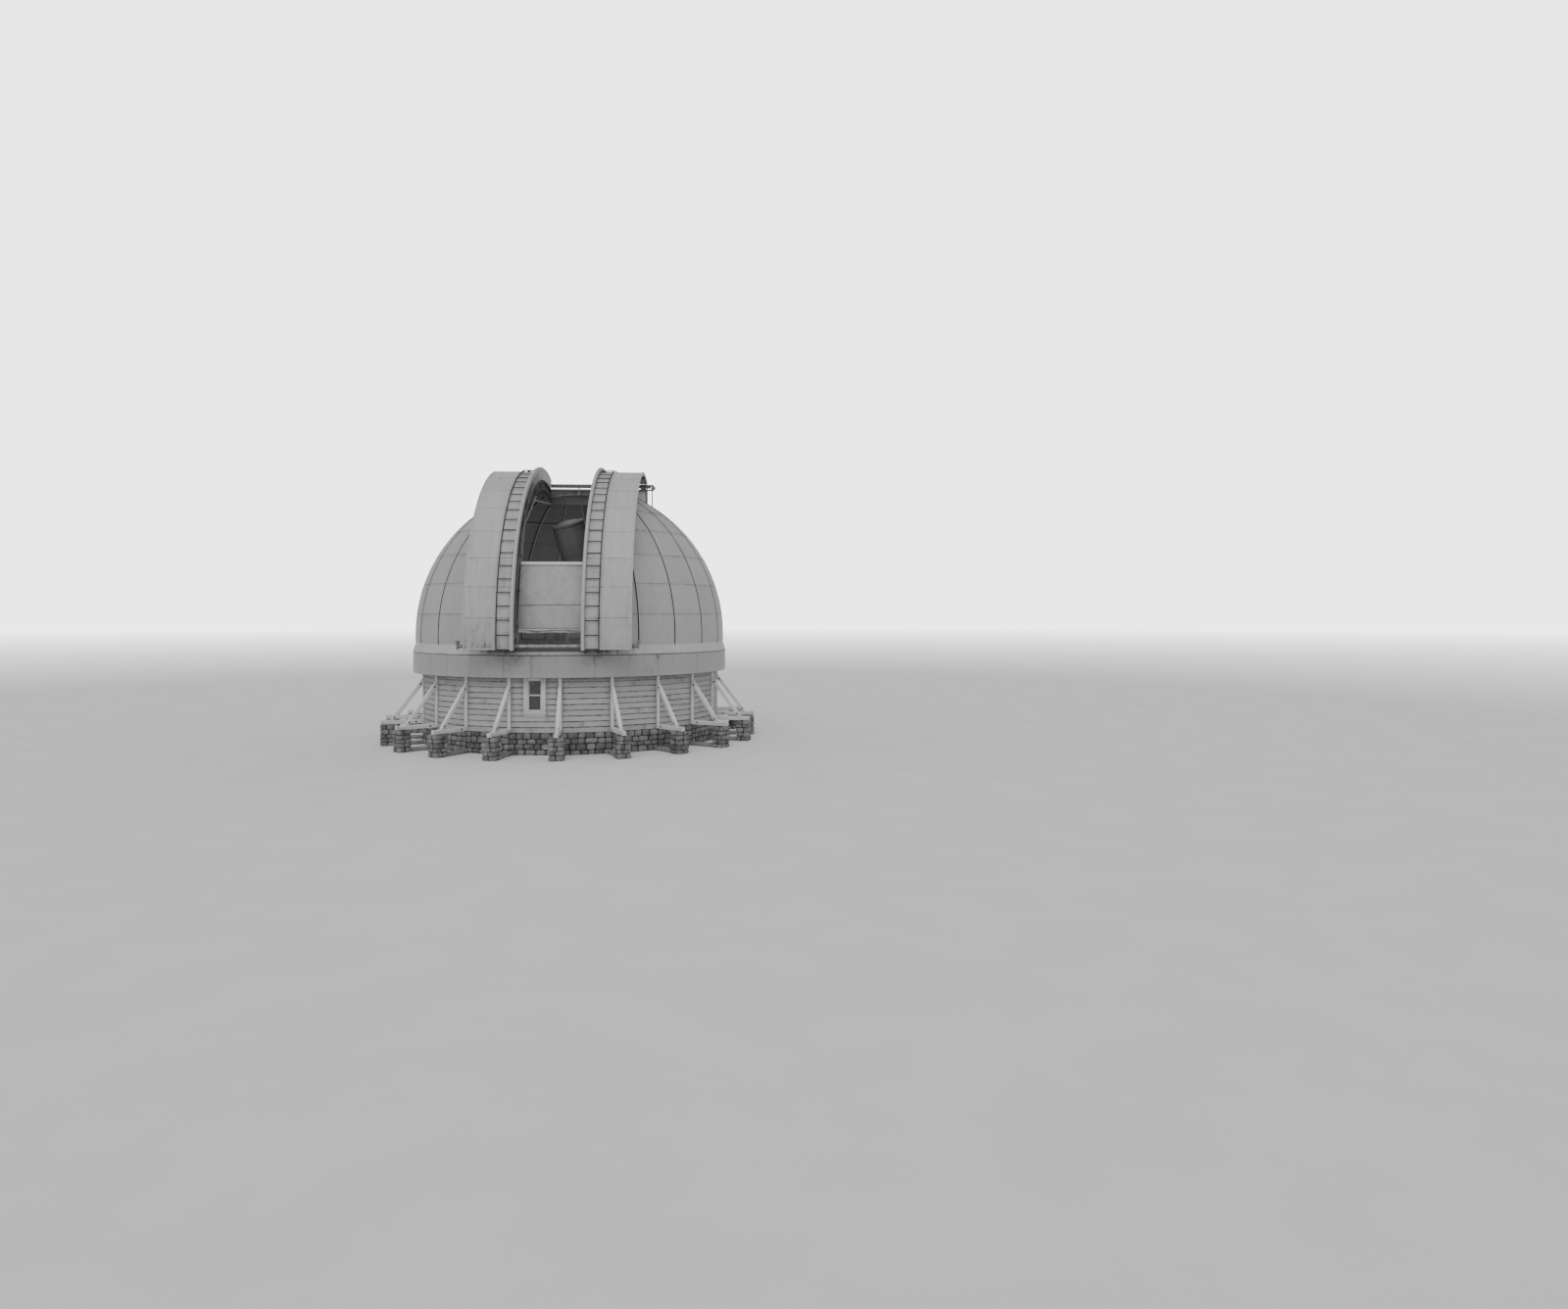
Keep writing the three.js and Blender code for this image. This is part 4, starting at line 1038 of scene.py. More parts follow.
def stones(centres, halves, axes, seed, round_off=4.5, rough=0.1):
    """Each point p of the cube becomes p / |p|_n (a rounded block), times the half sizes, times 1 + rough * noise."""
    n = len(centres)
    p = STONE_POINTS
    rounded = p / (np.abs(p) ** round_off).sum(-1, keepdims=True) ** (1 / round_off)
    rng = np.random.default_rng(seed)
    shift = rng.uniform(-40, 40, (n, 1, 3))
    wild = noise(0.9 * rounded + shift, 0.8, seed) + 0.4 * noise(2 * rounded + shift, 0.7, seed)
    local = rounded * (1 + rough * wild[..., None]) * np.asarray(halves)[:, None]
    points = centres[:, None] + np.einsum("nka,nab->nkb", local, axes)
    faces = (STONE_FACES[None] + len(p) * np.arange(n)[:, None, None]).reshape(-1, 4)
    uv = points.reshape(-1, 3)[faces][..., [0, 2]]
    return points, [faces], [uv], np.repeat(rng.uniform(0.1, 0.9, n), len(STONE_FACES))


print("a stone has", len(STONE_POINTS), "points")


# %% Courses of stone
def course(length, typical, rng):
    """The places and half lengths of the stones in one course: random widths that fill the length."""
    widths = rng.uniform(0.6, 1.4, max(2, round(length / typical)))
    widths *= length / widths.sum()
    return np.cumsum(widths) - widths / 2 - length / 2, widths / 2


def courses(count, vary, rng):
    """Where each course starts and ends: random heights that fill the footing."""
    edges = np.append(0, np.cumsum(rng.uniform(1 - vary, 1 + vary, count)))
    edges = edges / edges[-1] * FOOTING_TOP
    return zip(edges[:-1], edges[1:])


def stone_work():
    """Courses of stone round each pier and along the footing, kept inside the faces of the solids that they show."""
    rng = np.random.default_rng(17)
    centres, halves, frames = [], [], []

    def lay(origin, along, out, z0, z1, length, typical):
        for m, h in zip(*course(length, typical, rng)):
            depth = rng.uniform(0.05, 0.062)
            set_back = rng.uniform(0.004, 0.02)
            middle = origin + m * along - (depth + set_back) * out
            centres.append(middle + [0, 0, (z0 + z1) / 2])
            halves.append([h * 0.965, depth, (z1 - z0) / 2 * rng.uniform(0.93, 1.0)])
            lean = rng.normal(0, 0.02)
            frames.append([along + lean * Z, out, Z - lean * along])

    for azimuth in POSTS:
        across, outward, _ = plan_axes(azimuth)
        for z0, z1 in courses(5, 0.3, rng):
            typical = 0.19 + 0.06 * rng.integers(2)
            for axis in (outward, -outward, across, -across):
                lay(on_plan(PIER, azimuth, 0) + 0.2 * axis, np.cross(Z, axis), axis, z0, z1, 0.388, typical)
    for azimuth in POSTS + 9:
        across, outward, _ = plan_axes(azimuth)
        face = on_plan(FOOTING_CORNER * math.cos(BAY_HALF), azimuth, 0)
        for z0, z1 in courses(4, 0.25, rng):
            lay(face, across, outward, z0, z1, 2 * FOOTING_CORNER * math.sin(BAY_HALF) - 0.004, 0.24)
    points, faces, uv, tones = stones(np.array(centres), np.array(halves), np.array(frames), 4)
    points[..., 2] = np.maximum(points[..., 2], 0.0)
    return Parts().add(points, faces, uv, tones)


def stone_bed():
    """The core behind the stones: a dark block in each pier, a stone strip out to it, and a ring under the wall."""
    axes = np.stack(plan_axes(POSTS), 1)
    parts = Parts().add(*blocks(on_plan(PIER, POSTS, 0.292), (0.165, 0.165, 0.292), 0.01, axes))
    parts.add(*blocks(on_plan(4.82, POSTS, 0.048), (0.12, 0.42, 0.048), 0.02, axes), 0.75, 0.0, (1, 1))
    a = POSTS + 9
    axes = np.stack(plan_axes(a), 1)
    reach = FOOTING_CORNER * math.cos(BAY_HALF)
    half = (reach - 0.035) * math.tan(BAY_HALF)
    return parts.add(*blocks(on_plan(reach - 0.035 - 0.09, a, 0.296), (half, 0.09, 0.296), 0.004, axes))


FOOTINGS = [f"stone_footing_{side}" for side in ("front", "right", "rear", "left")]
place(stone_work(), "field_stones", [STONE], "house", FOOTINGS, 40)
place(stone_bed(), "stone_bed", [MORTAR, STONE], "house")

# %% [markdown]
# ## The windows
#
# One small sash window shows beside the slit, and symmetry puts another behind. Its casing, sill and two sashes are
# planed boards with eased edges and plain butt joints. The glass is the solid from the model with a darker, glossy
# finish, because the room behind it is dark.


# %% Window joinery
STILES = (
    (0.172, 0.302, -0.01, 0.04, 1.141, 2.24),
    (0.152, 0.18, -0.03, 0.012, 1.184, 1.598),
    (0.152, 0.18, -0.052, -0.012, 1.585, 2.016),
    (0.17, 0.1795, -0.095, 0.024, 1.17, 2.016),
)
RAILS = (
    (-0.316, 0.316, -0.02, 0.066, 1.1, 1.141),
    (-0.3, 0.3, -0.005, 0.038, 1.033, 1.1),
    (-0.178, 0.178, -0.04, 0.03, 1.141, 1.172),
    (-0.171, 0.171, -0.01, 0.036, 2.0, 2.24),
    (-0.153, 0.153, -0.03, 0.011, 1.172, 1.216),
    (-0.153, 0.153, -0.03, 0.011, 1.583, 1.609),
    (-0.153, 0.153, -0.052, -0.014, 1.594, 1.624),
    (-0.153, 0.153, -0.052, -0.014, 1.99, 2.014),
)


def window_joinery(azimuth, parts):
    """Casing, stops and sashes up each side, then sill, head and rails. A board is given by its two ends across,
    outwards from the wall's face and up: its middle is their mean, turned to the bay, and its half size half their
    difference."""
    stiles = [(side * x0, side * x1, *rest) for side in (-1, 1) for x0, x1, *rest in STILES]
    ends = np.array([*stiles, *RAILS]) + [0, 0, WALL_FACE, WALL_FACE, 0, 0]
    axes = np.stack(plan_axes(azimuth))
    halves = np.abs(ends[:, 1::2] - ends[:, ::2]) / 2
    boards = blocks((ends[:, 1::2] + ends[:, ::2]) / 2 @ axes, halves, 0.0025, axes, 12)
    parts.add(*boards, 0.65, np.repeat(0.35 * (halves[:, 2] < 0.03), 24))


joinery = Parts()
for bay in WINDOW_BAYS:
    window_joinery(FIRST_POST + 18 * bay + 9, joinery)
place(joinery, "window_joinery", [TRIM_PAINT], "house", ["window_frame_front", "window_frame_rear"])
for side in ("front", "rear"):
    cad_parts[f"window_glass_{side}"].data.materials[0] = GLASS

# %% The lining, the floor, the rail and the curb
for side in ("front", "right", "rear", "left"):
    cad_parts[f"wall_{side}"].data.materials[0] = LINING
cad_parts["ring_rail"].data.materials[0] = TRACK_IRON
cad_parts["dome_curb"].data.materials[0] = CURB_TIMBER


PLANK = 0.14
FLOOR_EDGE = 4.17


def floor_planks():
    """Planks along Y, each cut to the round wall, y = sqrt(r^2 - x^2), and round the telescope's pier."""
    rng = np.random.default_rng(3)
    low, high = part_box("telescope_pier")
    pier_x, pier_y = (low.x + high.x) / 2, (low.y + high.y) / 2
    middles, halves = [], []
    for x in np.arange(-4.08, 4.1, PLANK):
        reach = math.sqrt(FLOOR_EDGE**2 - min(abs(x) + PLANK / 2, FLOOR_EDGE - 0.01) ** 2)
        runs = [(-reach, reach)]
        if abs(x - pier_x) < 0.53:
            runs = [(-reach, pier_y - 0.46), (pier_y + 0.46, reach)]
        for start, end in runs:
            joint = [start + rng.uniform(0.3, 0.7) * (end - start)] if end - start > 2.5 else []
            cuts = np.array([start, *joint, end])
            for y0, y1 in zip(cuts[:-1], cuts[1:]):
                middles.append([x, (y0 + y1) / 2, 0.53 + rng.uniform(-0.001, 0)])
                halves.append([0.0685, max(0.02, (y1 - y0) / 2 - 0.001), 0.05])
    tones = rng.uniform(0.1, 0.9, len(middles)).repeat(18)
    return Parts().add(*blocks(middles, halves, 0.003, seed=2), tones)


place(floor_planks(), "floor_planks", [FLOOR_TIMBER], "house", ["timber_floor"])


# %% [markdown]
# ## The shutters
#
# Two curved shutters slide apart over the slit. Each is skinned in flat sheets bent only at their laps, so its edge
# shows as a polygon against the sky. A lathe would make it round. Here the rows of the grid lie at the laps, and
# between two laps the points run straight, with a few millimetres of hollow where the metal has settled.

# %% Shutter panels
SIDES = (("right", 1.0), ("left", -1.0))
SHUTTER = 4.96
SHUTTER_FOOT = math.degrees(math.asin(-0.355 / SHUTTER))
SHUTTER_END = 104.3
SHUTTER_LAPS = np.array([SHUTTER_FOOT, 5.8, 15.4, 25.0, 34.8, 45.3, 55.5, 66.0, 76.2, 86.4, 96.2, SHUTTER_END])


def in_slit(x, radius, angle):
    """The point at a slit angle: (x, -r cos angle, centre + r sin angle)."""
    t = np.radians(angle)
    return np.stack(np.broadcast_arrays(x, -radius * np.cos(t), CENTRE + radius * np.sin(t)), -1)


def slit_out(angle):
    """The way out of the dome at a slit angle: (0, -cos angle, sin angle)."""
    return in_slit(0.0, 1.0, angle) - [0, 0, CENTRE]


def facet_radius(radius, laps, angle):
    """How far out a flat sheet lies between its laps: r cos(half) / cos(angle - middle)."""
    i = np.clip(np.searchsorted(laps, angle, "right") - 1, 0, len(laps) - 2)
    middle, half = (laps[i] + laps[i + 1]) / 2, (laps[i + 1] - laps[i]) / 2
    return radius * np.cos(np.radians(half)) / np.cos(np.radians(angle - middle))


def shutter_skin(sign, seed):
    """Sheets between the lip and the outer edge; each one's lower edge lies 4 mm over the sheet below."""
    rng = np.random.default_rng(seed)
    share = np.array([0.0, 0.01, 0.05, 0.2, 0.4, 0.6, 0.8, 0.95, 0.99, 1.0])
    angles = (SHUTTER_LAPS[:-1, None] + np.diff(SHUTTER_LAPS)[:, None] * share).ravel()
    height = np.tile(share, len(SHUTTER_LAPS) - 1)
    course_of = np.repeat(np.arange(len(SHUTTER_LAPS) - 1), len(share))
    x = sign * np.array([0.9, 0.96, 1.0, 1.08, 1.2, 1.33, 1.36, 1.45, 1.6, 1.75, 1.9, 2.05, 2.15, 2.182, 2.19, 2.1905])
    t, xx = np.meshgrid(angles, x, indexing="ij")
    flat = facet_radius(4.959, SHUTTER_LAPS, np.clip(t, SHUTTER_FOOT + 1e-6, SHUTTER_END - 1e-6))
    at, away, above = in_slit(xx, SHUTTER, t), np.abs(xx), t - SHUTTER_FOOT
    dent = 0.006 * swell(at, 0.55, seed) + 0.0015 * swell(at, 0.2, seed + 1)
    dent = dent * np.clip((away - 0.97) / 0.1, 0, 1) * np.clip((2.19 - away) / 0.08, 0, 1)
    rolled = 0.012 * (away > 2.186) + 0.02 * (away > 2.1902)
    front = in_slit(np.minimum(away, 2.19) * sign, flat - 0.0042 * height[:, None] - dent - rolled, t)
    back = in_slit(np.minimum(away, 2.186) * sign, 4.922, t)
    uv = np.stack([xx, np.radians(t) * SHUTTER], -1)
    # Grime and painted shade: dirt and painted shade at each lap, darker near the foot outside the ladder, at the
    # rolled outer edge and along the bottom edge, painted shadow beside the ladder's rail, and trodden wear between the
    # lip and the ladder.
    grime = np.where(height > 0.97, 0.62, np.where(height < 0.005, 0.4, 0.04))[:, None]
    grime = grime + 0.75 * np.exp(-above / 13) * (away > 1.32) + 0.3 * (away > 2.18) + 0.2 * (above < 0.5)
    trodden = 0.16 + 0.3 * np.exp(-above / 28) + 0.15 * swell(at * [1, 0.3, 0.3], 0.16, seed + 2)
    grime = grime + 0.3 * hump(away, 1.345, 0.02) + trodden * (away < 1.32)
    tones = rng.uniform(0.3, 0.7, len(SHUTTER_LAPS))[course_of[:-1]].repeat(len(x) - 1)
    return Parts().add(*slab(front, back, uv), tones, grime, (0, 1, 0))


def along_arc(profile, sign, radius, a0, a1, step=2.0):
    """A profile of (x, out) carried along the arc of the slit from angle a0 to a1."""
    t = np.linspace(a0, a1, max(3, int(abs(a1 - a0) / step) + 1))
    out = slit_out(t)
    return carried(profile * [sign, 1], in_slit(0.0, radius, t), X, out)


print("flat sheets up each shutter:", len(SHUTTER_LAPS) - 1)


# %% Flanges, ribs and carriages
WHEEL_LINE = CENTRE + 4.655


def shutter_edge(sign, parts):
    """The folded flange on the outer edge, the bottom hem and stiffening angles under the skin."""
    flange = mm((2168, -85), (2189, -85), (2189, -20), (2176, -20), (2176, -75), (2168, -75))
    parts.add(*along_arc(flange, sign, 4.94, SHUTTER_FOOT + 3.2, SHUTTER_END), 0.6, 0.2)
    hem = mm((2166, 15), (2190.5, 15), (2190.5, 24), (2166, 22))
    parts.add(*along_arc(hem, sign, 4.935, SHUTTER_FOOT, SHUTTER_END), 0.75)
    for angle in (SHUTTER_FOOT + 0.35, SHUTTER_END - 0.35):
        out = slit_out(angle)
        path = in_slit(sign * np.linspace(0.9, 2.188, 6), 4.946, angle)
        section = timber_profile(0.022, 0.0135, 0.003)
        parts.add(*carried(section, path, np.cross(X, out), out), 0.6, 0.3)
    return parts


def shutter_ribs(sign, parts):
    """Angle-iron ribs across the back of the skin, one at each lap, seen from below and behind."""
    for angle in SHUTTER_LAPS[1:-1]:
        out = slit_out(angle)
        path = in_slit(sign * np.linspace(0.9, 2.168, 5), 4.922, angle)
        section = mm((-18, -46), (18, -46), (18, -40), (-12, -40), (-12, 0), (-18, 0))
        parts.add(*carried(section, path, np.cross(X, out), out))
    return parts


def carriages(sign, parts):
    """Under each shutter's two ends: hangers and wheels on the top track, shoes on the bottom track."""
    for x in (1.01, 2.06):
        spots = (0, 1.195, 4.66), (-0.075, 1.195, 4.75), (0.075, 1.195, 4.75), (0, -4.86, -0.17)
        middles = [(sign * (x + dx), y, CENTRE + z) for dx, y, z in spots]
        halves = [(0.09, 0.024, 0.1), (0.012, 0.024, 0.075), (0.012, 0.024, 0.075), (0.09, 0.06, 0.034)]
        parts.add(*blocks(middles, halves, 0.004))
        for y, radius in ((np.array([1.2195, 1.26, 1.299]), 0.017), (np.array([1.2985, 1.312, 1.3245]), 0.0442)):
            path = np.stack([np.full(3, sign * x), y, np.full(3, WHEEL_LINE)], -1)
            parts.add(*carried(circle(24, radius), path, X, Z))
    return parts


for name, sign in SIDES:
    body = f"{name}_shutter"
    skin = shutter_edge(sign, shutter_skin(sign, 40 + int(sign)))
    place(skin, f"{body}_sheets", [SHUTTER_PAINT, UNDER_PAINT], body, [f"shutter_panel_{name}"], 14)
    iron = carriages(sign, shutter_ribs(sign, Parts()))
    place(iron, f"{body}_ironwork", [HANGER_IRON], body, (), 40)

# %% [markdown]
# A pale, rounded lip runs up each shutter's inner edge, over a deep cheek that closes the shutter's side. Beside the
# lip is a ladder of iron rungs, for oiling the tracks. The lip and the ladder's rail are profiles carried round
# the arc, and the rungs are short round bars, a little uneven as hand-set rungs are.


# %% Lips, cheeks and ladders
CHEEK_FOOT = SHUTTER_FOOT + 3.4
LIP_LINE = 4.9


def lip_and_cheek(sign):
    """The lip's profile is half of a rounded box: x = w/2 (1 + cos t'), out = h sin t', with the corner squared off."""
    t = np.linspace(0, np.pi, 15)
    squared = np.sign(np.cos(t)) * np.abs(np.cos(t)) ** 0.6
    lip = np.stack([0.92 + 0.05 * squared, 0.062 + 0.1215 * np.sin(t) ** 0.55], -1)
    lip = np.concatenate([[(0.97, 0.045)], lip, [(0.87, 0.045)]])
    parts = Parts()
    # painted shadow along the lip's outer foot, where it meets the skin
    joint = np.array([1.4, 1.4, 0.6, *[0.0] * 12, 0.2, 0.3])
    parts.add(*along_arc(lip, sign, LIP_LINE, SHUTTER_FOOT, SHUTTER_END, 1.5), 0.6, joint)
    cheek = rect(0.872, 0.893, -0.198, 0.06)
    side = along_arc(cheek, sign, LIP_LINE, CHEEK_FOOT, SHUTTER_END)
    angle = np.linspace(CHEEK_FOOT, SHUTTER_END, len(side[0]))
    # painted shade on the cheek's inner face: dark low down, fading to none near the top
    shade = np.interp(angle, [0, 38, 66, 88, 104], [1.5, 1.35, 0.7, 0.0, 0.15])
    parts.add(*side, 0.5, np.repeat(shade, 4), (1, 1))
    bead = rect(0.868, 0.9, -0.203, -0.188)
    parts.add(*along_arc(bead, sign, LIP_LINE, CHEEK_FOOT, SHUTTER_END), 0.7, 0.3, (1, 1))
    for lap in SHUTTER_LAPS[1:-1]:
        band = mm((871.5, 75), (874, 160), (890, 183), (920, 185.5), (950, 183), (966, 160), (969.5, 75))
        band = np.concatenate([band, band[::-1] - [0, 0.004]])
        parts.add(*along_arc(band, sign, 4.8985, lap - 0.18, lap + 0.18, 0.2), 0.8, 0.35)
    return parts


def ladder(sign, seed):
    """A rail along the arc and a rung every 4.33 degrees, each bowed and tilted a little by chance."""
    rng = np.random.default_rng(seed)
    parts = Parts()
    rail = mm((1322, 0), (1343, 0), (1343, 34), (1338, 39), (1327, 39), (1322, 34))
    parts.add(*along_arc(rail, sign, 4.961, SHUTTER_FOOT, 101.1), 0.4)
    for rung in range(25):
        angle = 0.5 + 4.33 * (rung - 1) + rng.normal(0, 0.07)
        x = np.linspace(0.962, 1.335, 7)
        bow = rng.normal(0, 0.0025) * np.sin(np.linspace(0, np.pi, 7))
        tilt = rng.normal(0, 0.05) * np.linspace(-0.5, 0.5, 7)
        path = in_slit(sign * x, 4.983 + bow, angle + tilt)
        out = slit_out(angle)
        parts.add(*carried(circle(10, 0.0125), path, np.cross(out, X), out), rng.uniform(0.2, 0.8))
    return parts


for name, sign in SIDES:
    body = f"{name}_shutter"
    lip, rungs = lip_and_cheek(sign), ladder(sign, 60 + int(sign))
    place(lip, f"{body}_lip", [LIP_PAINT, CHEEK_PAINT], body, [f"shutter_lip_{name}"], 35)
    place(rungs, f"{body}_ladder", [LADDER_IRON], body, [f"shutter_ladder_{name}"], 50)

# %% [markdown]
# ## The slit's frame
#
# The shell is cut open along the slit, and an arched girder on each side carries its edges. Near the top each
# girder has a level tie with slanting bars above it, as in a roof truss. Each girder is a steel web with an angle
# along both edges, and the inner angle catches the light: its front part is given pale paint as a painted
# highlight. A solid arch would be simpler and would show no edge. So the web is a thin plate between two curves,
# and each angle is a small profile carried along one of them.

# %% The jambs' two curves
JAMB_TURNS = np.array([(4.4, -0.2895), (4.4, 0.3), (3.9, 2.04), (3.37, 3.06), (1.824, 3.894)])
TIE = np.array([(1.83, 3.88), (-1.2, 4.08)])


def inner_curve(step=0.12):
    """Straight runs between the turns, then an arc of radius 4.4 from 72 to 106.1 degrees: (forward, up)."""
    arc = np.radians(np.arange(72.0, 106.1, 1.5))
    corners = np.concatenate([JAMB_TURNS, 4.4 * np.stack([np.cos(arc), np.sin(arc)], -1)])
    runs = []
    for a, b in zip(corners[:-1], corners[1:]):
        n = max(1, int(np.linalg.norm(b - a) / step))
        runs.append(a + (b - a) * np.linspace(0, 1, n, endpoint=False)[:, None])
    return np.concatenate([*runs, corners[-1:]])


def side_view(x, curve):
    """A curve of (forward, up) as points in space: (x, -forward, centre + up)."""
    curve = np.asarray(curve, float)
    return np.stack(np.broadcast_arrays(x, -curve[..., 0], CENTRE + curve[..., 1]), -1)


def outwards(curve):
    """The way out of the dome at each point, at right angles to the curve."""
    along = unit(np.gradient(curve, axis=0))
    normal = np.stack([along[:, 1], -along[:, 0]], -1)
    normal = normal * np.sign((normal * curve).sum(-1, keepdims=True))
    return np.stack([0 * normal[:, 0], -normal[:, 0], normal[:, 1]], -1)


def flat_bar(a, b, x0, x1, wide):
    """A flat bar between two points of the side view, from x0 to x1, with its width in that plane."""
    a, b = np.asarray(a, float), np.asarray(b, float)
    along = unit(b - a)
    across = np.array([0, along[1], along[0]])
    section = rect(x0, x1, -wide / 2, wide / 2)
    return carried(section, side_view(0.0, np.stack([a, (a + b) / 2, b])), X, across)


print("points on the girder's inner curve:", len(inner_curve()))


# %% Jambs
def jamb(sign):
    """Web, inner and outer angle, stiffeners, and the truss of tie, hangers and slanting bars near the top."""
    parts = Parts()
    inner = inner_curve()
    reach = np.linalg.norm(inner, axis=-1, keepdims=True)
    outer = inner * 4.652 / reach
    share = np.linspace(0, 1, 4)[None, :, None]
    web = inner[:, None] + (outer - inner)[:, None] * share
    uv = np.stack([np.linspace(0, 9, len(inner))[:, None] + 0 * share[..., 0], share[..., 0] * 0.3 + 0 * reach], -1)
    damp = 0.25 + 0.3 * (inner[:, 1] < 0.1)[:, None] + 0 * share[..., 0]
    parts.add(*slab(side_view(sign * 0.9, web), side_view(sign * 0.91, web), uv), 0.35, damp)
    angle = mm((860.5, 0), (912, 0), (912, 9), (876, 9), (869, 12), (869, 34), (860.5, 34))
    # The inner angle's front part, where it lies more than 1.7 m forward, takes the pale track paint and the rest the
    # dark jamb paint: a painted highlight on the front part.
    way_out, turn = outwards(inner), int((inner[:, 0] > 1.7).sum())
    for part, slot in ((slice(0, turn + 1), 1), (slice(turn, None), 0)):
        parts.add(*carried(angle * [sign, 1], side_view(0.0, inner[part]), X, way_out[part]), 0.8, 0.0, (slot, slot))
    arc = np.radians(np.arange(-3.4, 105.9, 1.5))
    rim = 4.65 * np.stack([np.cos(arc), np.sin(arc)], -1)
    flange = mm((864, -20), (872, -20), (872, 0), (919.5, 0), (919.5, 9), (864, 9))
    parts.add(*carried(flange * [sign, 1], side_view(0.0, rim), X, outwards(rim)), 0.6, 0.15)
    for n in range(4, len(inner) - 2, 8):
        parts.add(*flat_bar(inner[n] * 1.004, outer[n] * 0.998, sign * 0.872, sign * 0.9, 0.009), 0.5, 0.1)
    tie_angle = mm((860.5, 0), (912, 0), (912, 9), (870, 9), (870, 50), (860.5, 50))
    level = TIE[:1] + (TIE[1:] - TIE[:1]) * np.linspace(0, 1, 6)[:, None]
    parts.add(*carried(tie_angle * [sign, 1], side_view(0.0, level), X, Z), 0.9, 0.0, (1, 1))
    for forward in (0.87, -0.09, -1.17):
        foot = (forward, 3.895 + (1.83 - forward) / 3.03 * 0.2)
        head = (forward, math.sqrt(4.4**2 - forward**2) + 0.02)
        parts.add(*flat_bar(foot, head, sign * 0.872, sign * 0.884, 0.055), 0.6)
    knots = [(1.72, 3.91), (1.3, 4.22), (0.87, 3.97), (0.4, 4.4), (-0.09, 4.03), (-0.6, 4.37), (-1.17, 4.09)]
    for a, b in zip(knots[:-1], knots[1:]):
        parts.add(*flat_bar(a, b, sign * 0.886, sign * 0.896, 0.045), 0.95)
        parts.add(*blocks((sign * 0.893, -b[0], CENTRE + b[1]), (0.006, 0.07, 0.06), 0.002), 0.5)
    brace_end = (sign * 0.7, -4.5, CENTRE - 0.235)
    path = np.linspace((sign * 0.872, -4.42, CENTRE - 0.02), brace_end, 4)
    parts.add(*carried(rect(-0.012, 0.012, -0.005, 0.005), path, Y, [0.6 * sign, 0, 0.8]), 0.9, 0.0, (1, 1))
    return parts


for name, sign in SIDES:
    finishes = [JAMB_PAINT, TRACK_PAINT]
    place(jamb(sign), f"slit_girder_{name}", finishes, "dome", [f"slit_jamb_{name}"], 30)

# %% [markdown]
# The header closes the slit's rear end. It is boarded in between two angles, and the lower angle shows as a thin
# bright line against the dark inside. The sill is a board behind the bottom track with a rounded bar on top of it.
# Boards are bevelled blocks with a small gap between them, which gives each joint a real shadow.


# %% Header and sill
def header():
    """Upright boards side by side, with a bright angle along the foot and a dark one along the top."""
    rng = np.random.default_rng(71)
    edges = np.linspace(-0.858, 0.858, 13)
    middles = np.stack([(edges[1:] + edges[:-1]) / 2, np.full(12, 1.2), np.full(12, CENTRE + 4.21)], -1)
    halves = np.diff(edges)[0] / 2 - 0.0015, 0.032, 0.122
    boards = blocks(middles, halves, 0.004, seed=71)
    parts = Parts().add(*boards, rng.uniform(0.3, 0.7, 12).repeat(18))
    path = np.linspace((-0.859, 1.12, CENTRE + 4.08), (0.859, 1.12, CENTRE + 4.08), 5)
    low = np.array([(0, 0), (0.17, 0), (0.17, 0.012), (0.012, 0.012), (0.012, 0.055), (0, 0.055)])
    parts.add(*carried(low, path, Y, Z), 0.95)
    top = path + [0, 0.04, 0.255]
    parts.add(*carried(low * [0.8, -1], top, Y, Z), 0.35, 0.3, (0, 0))
    return parts


def sill():
    """A board, a round bar on top of it with painted shadow towards its ends, and three brackets."""
    parts = Parts()
    parts.add(*blocks((0, -4.47, 2.923), (0.859, 0.069, 0.022), 0.006, seed=5), 0.25, 0.5)
    path = np.linspace((-0.859, -4.49, 2.946), (0.859, -4.49, 2.946), 7)
    # painted shadow on the bar's ends, beside the shutters' lips
    worn = 0.35 + 0.5 * (np.abs(path[:, 0]) > 0.7)
    parts.add(*carried(circle(28, 0.0415), path, Y, Z), 0.4, worn.repeat(28))
    for x in (-0.62, 0, 0.62):
        parts.add(*blocks((x, -4.43, 2.952), (0.02, 0.032, 0.05), 0.004), 0.3, 0.4)
    return parts


place(header(), "slit_header_boards", [JAMB_PAINT, TRACK_PAINT], "dome", ["slit_header"], 30)
place(sill(), "slit_sill_board", [JAMB_PAINT], "dome", ["slit_sill"], 40)

# %% [markdown]
# ## The tracks
#
# Behind the slit stands a track of two rails on thin legs, with a pulley at each end, and wheels on the shutters run
# between the rails. A plate under it keeps the rain out. Each rail is two dark angles with a paler bar between them,
# so it is drawn as three profiles and not one bar. A lip on the upper rail keeps the wheels in. The plate's lower
# edge follows the dome: z = sqrt(R^2 - x^2 - y^2).


# %% Rails and turned parts
TRACK_Y = 1.3125


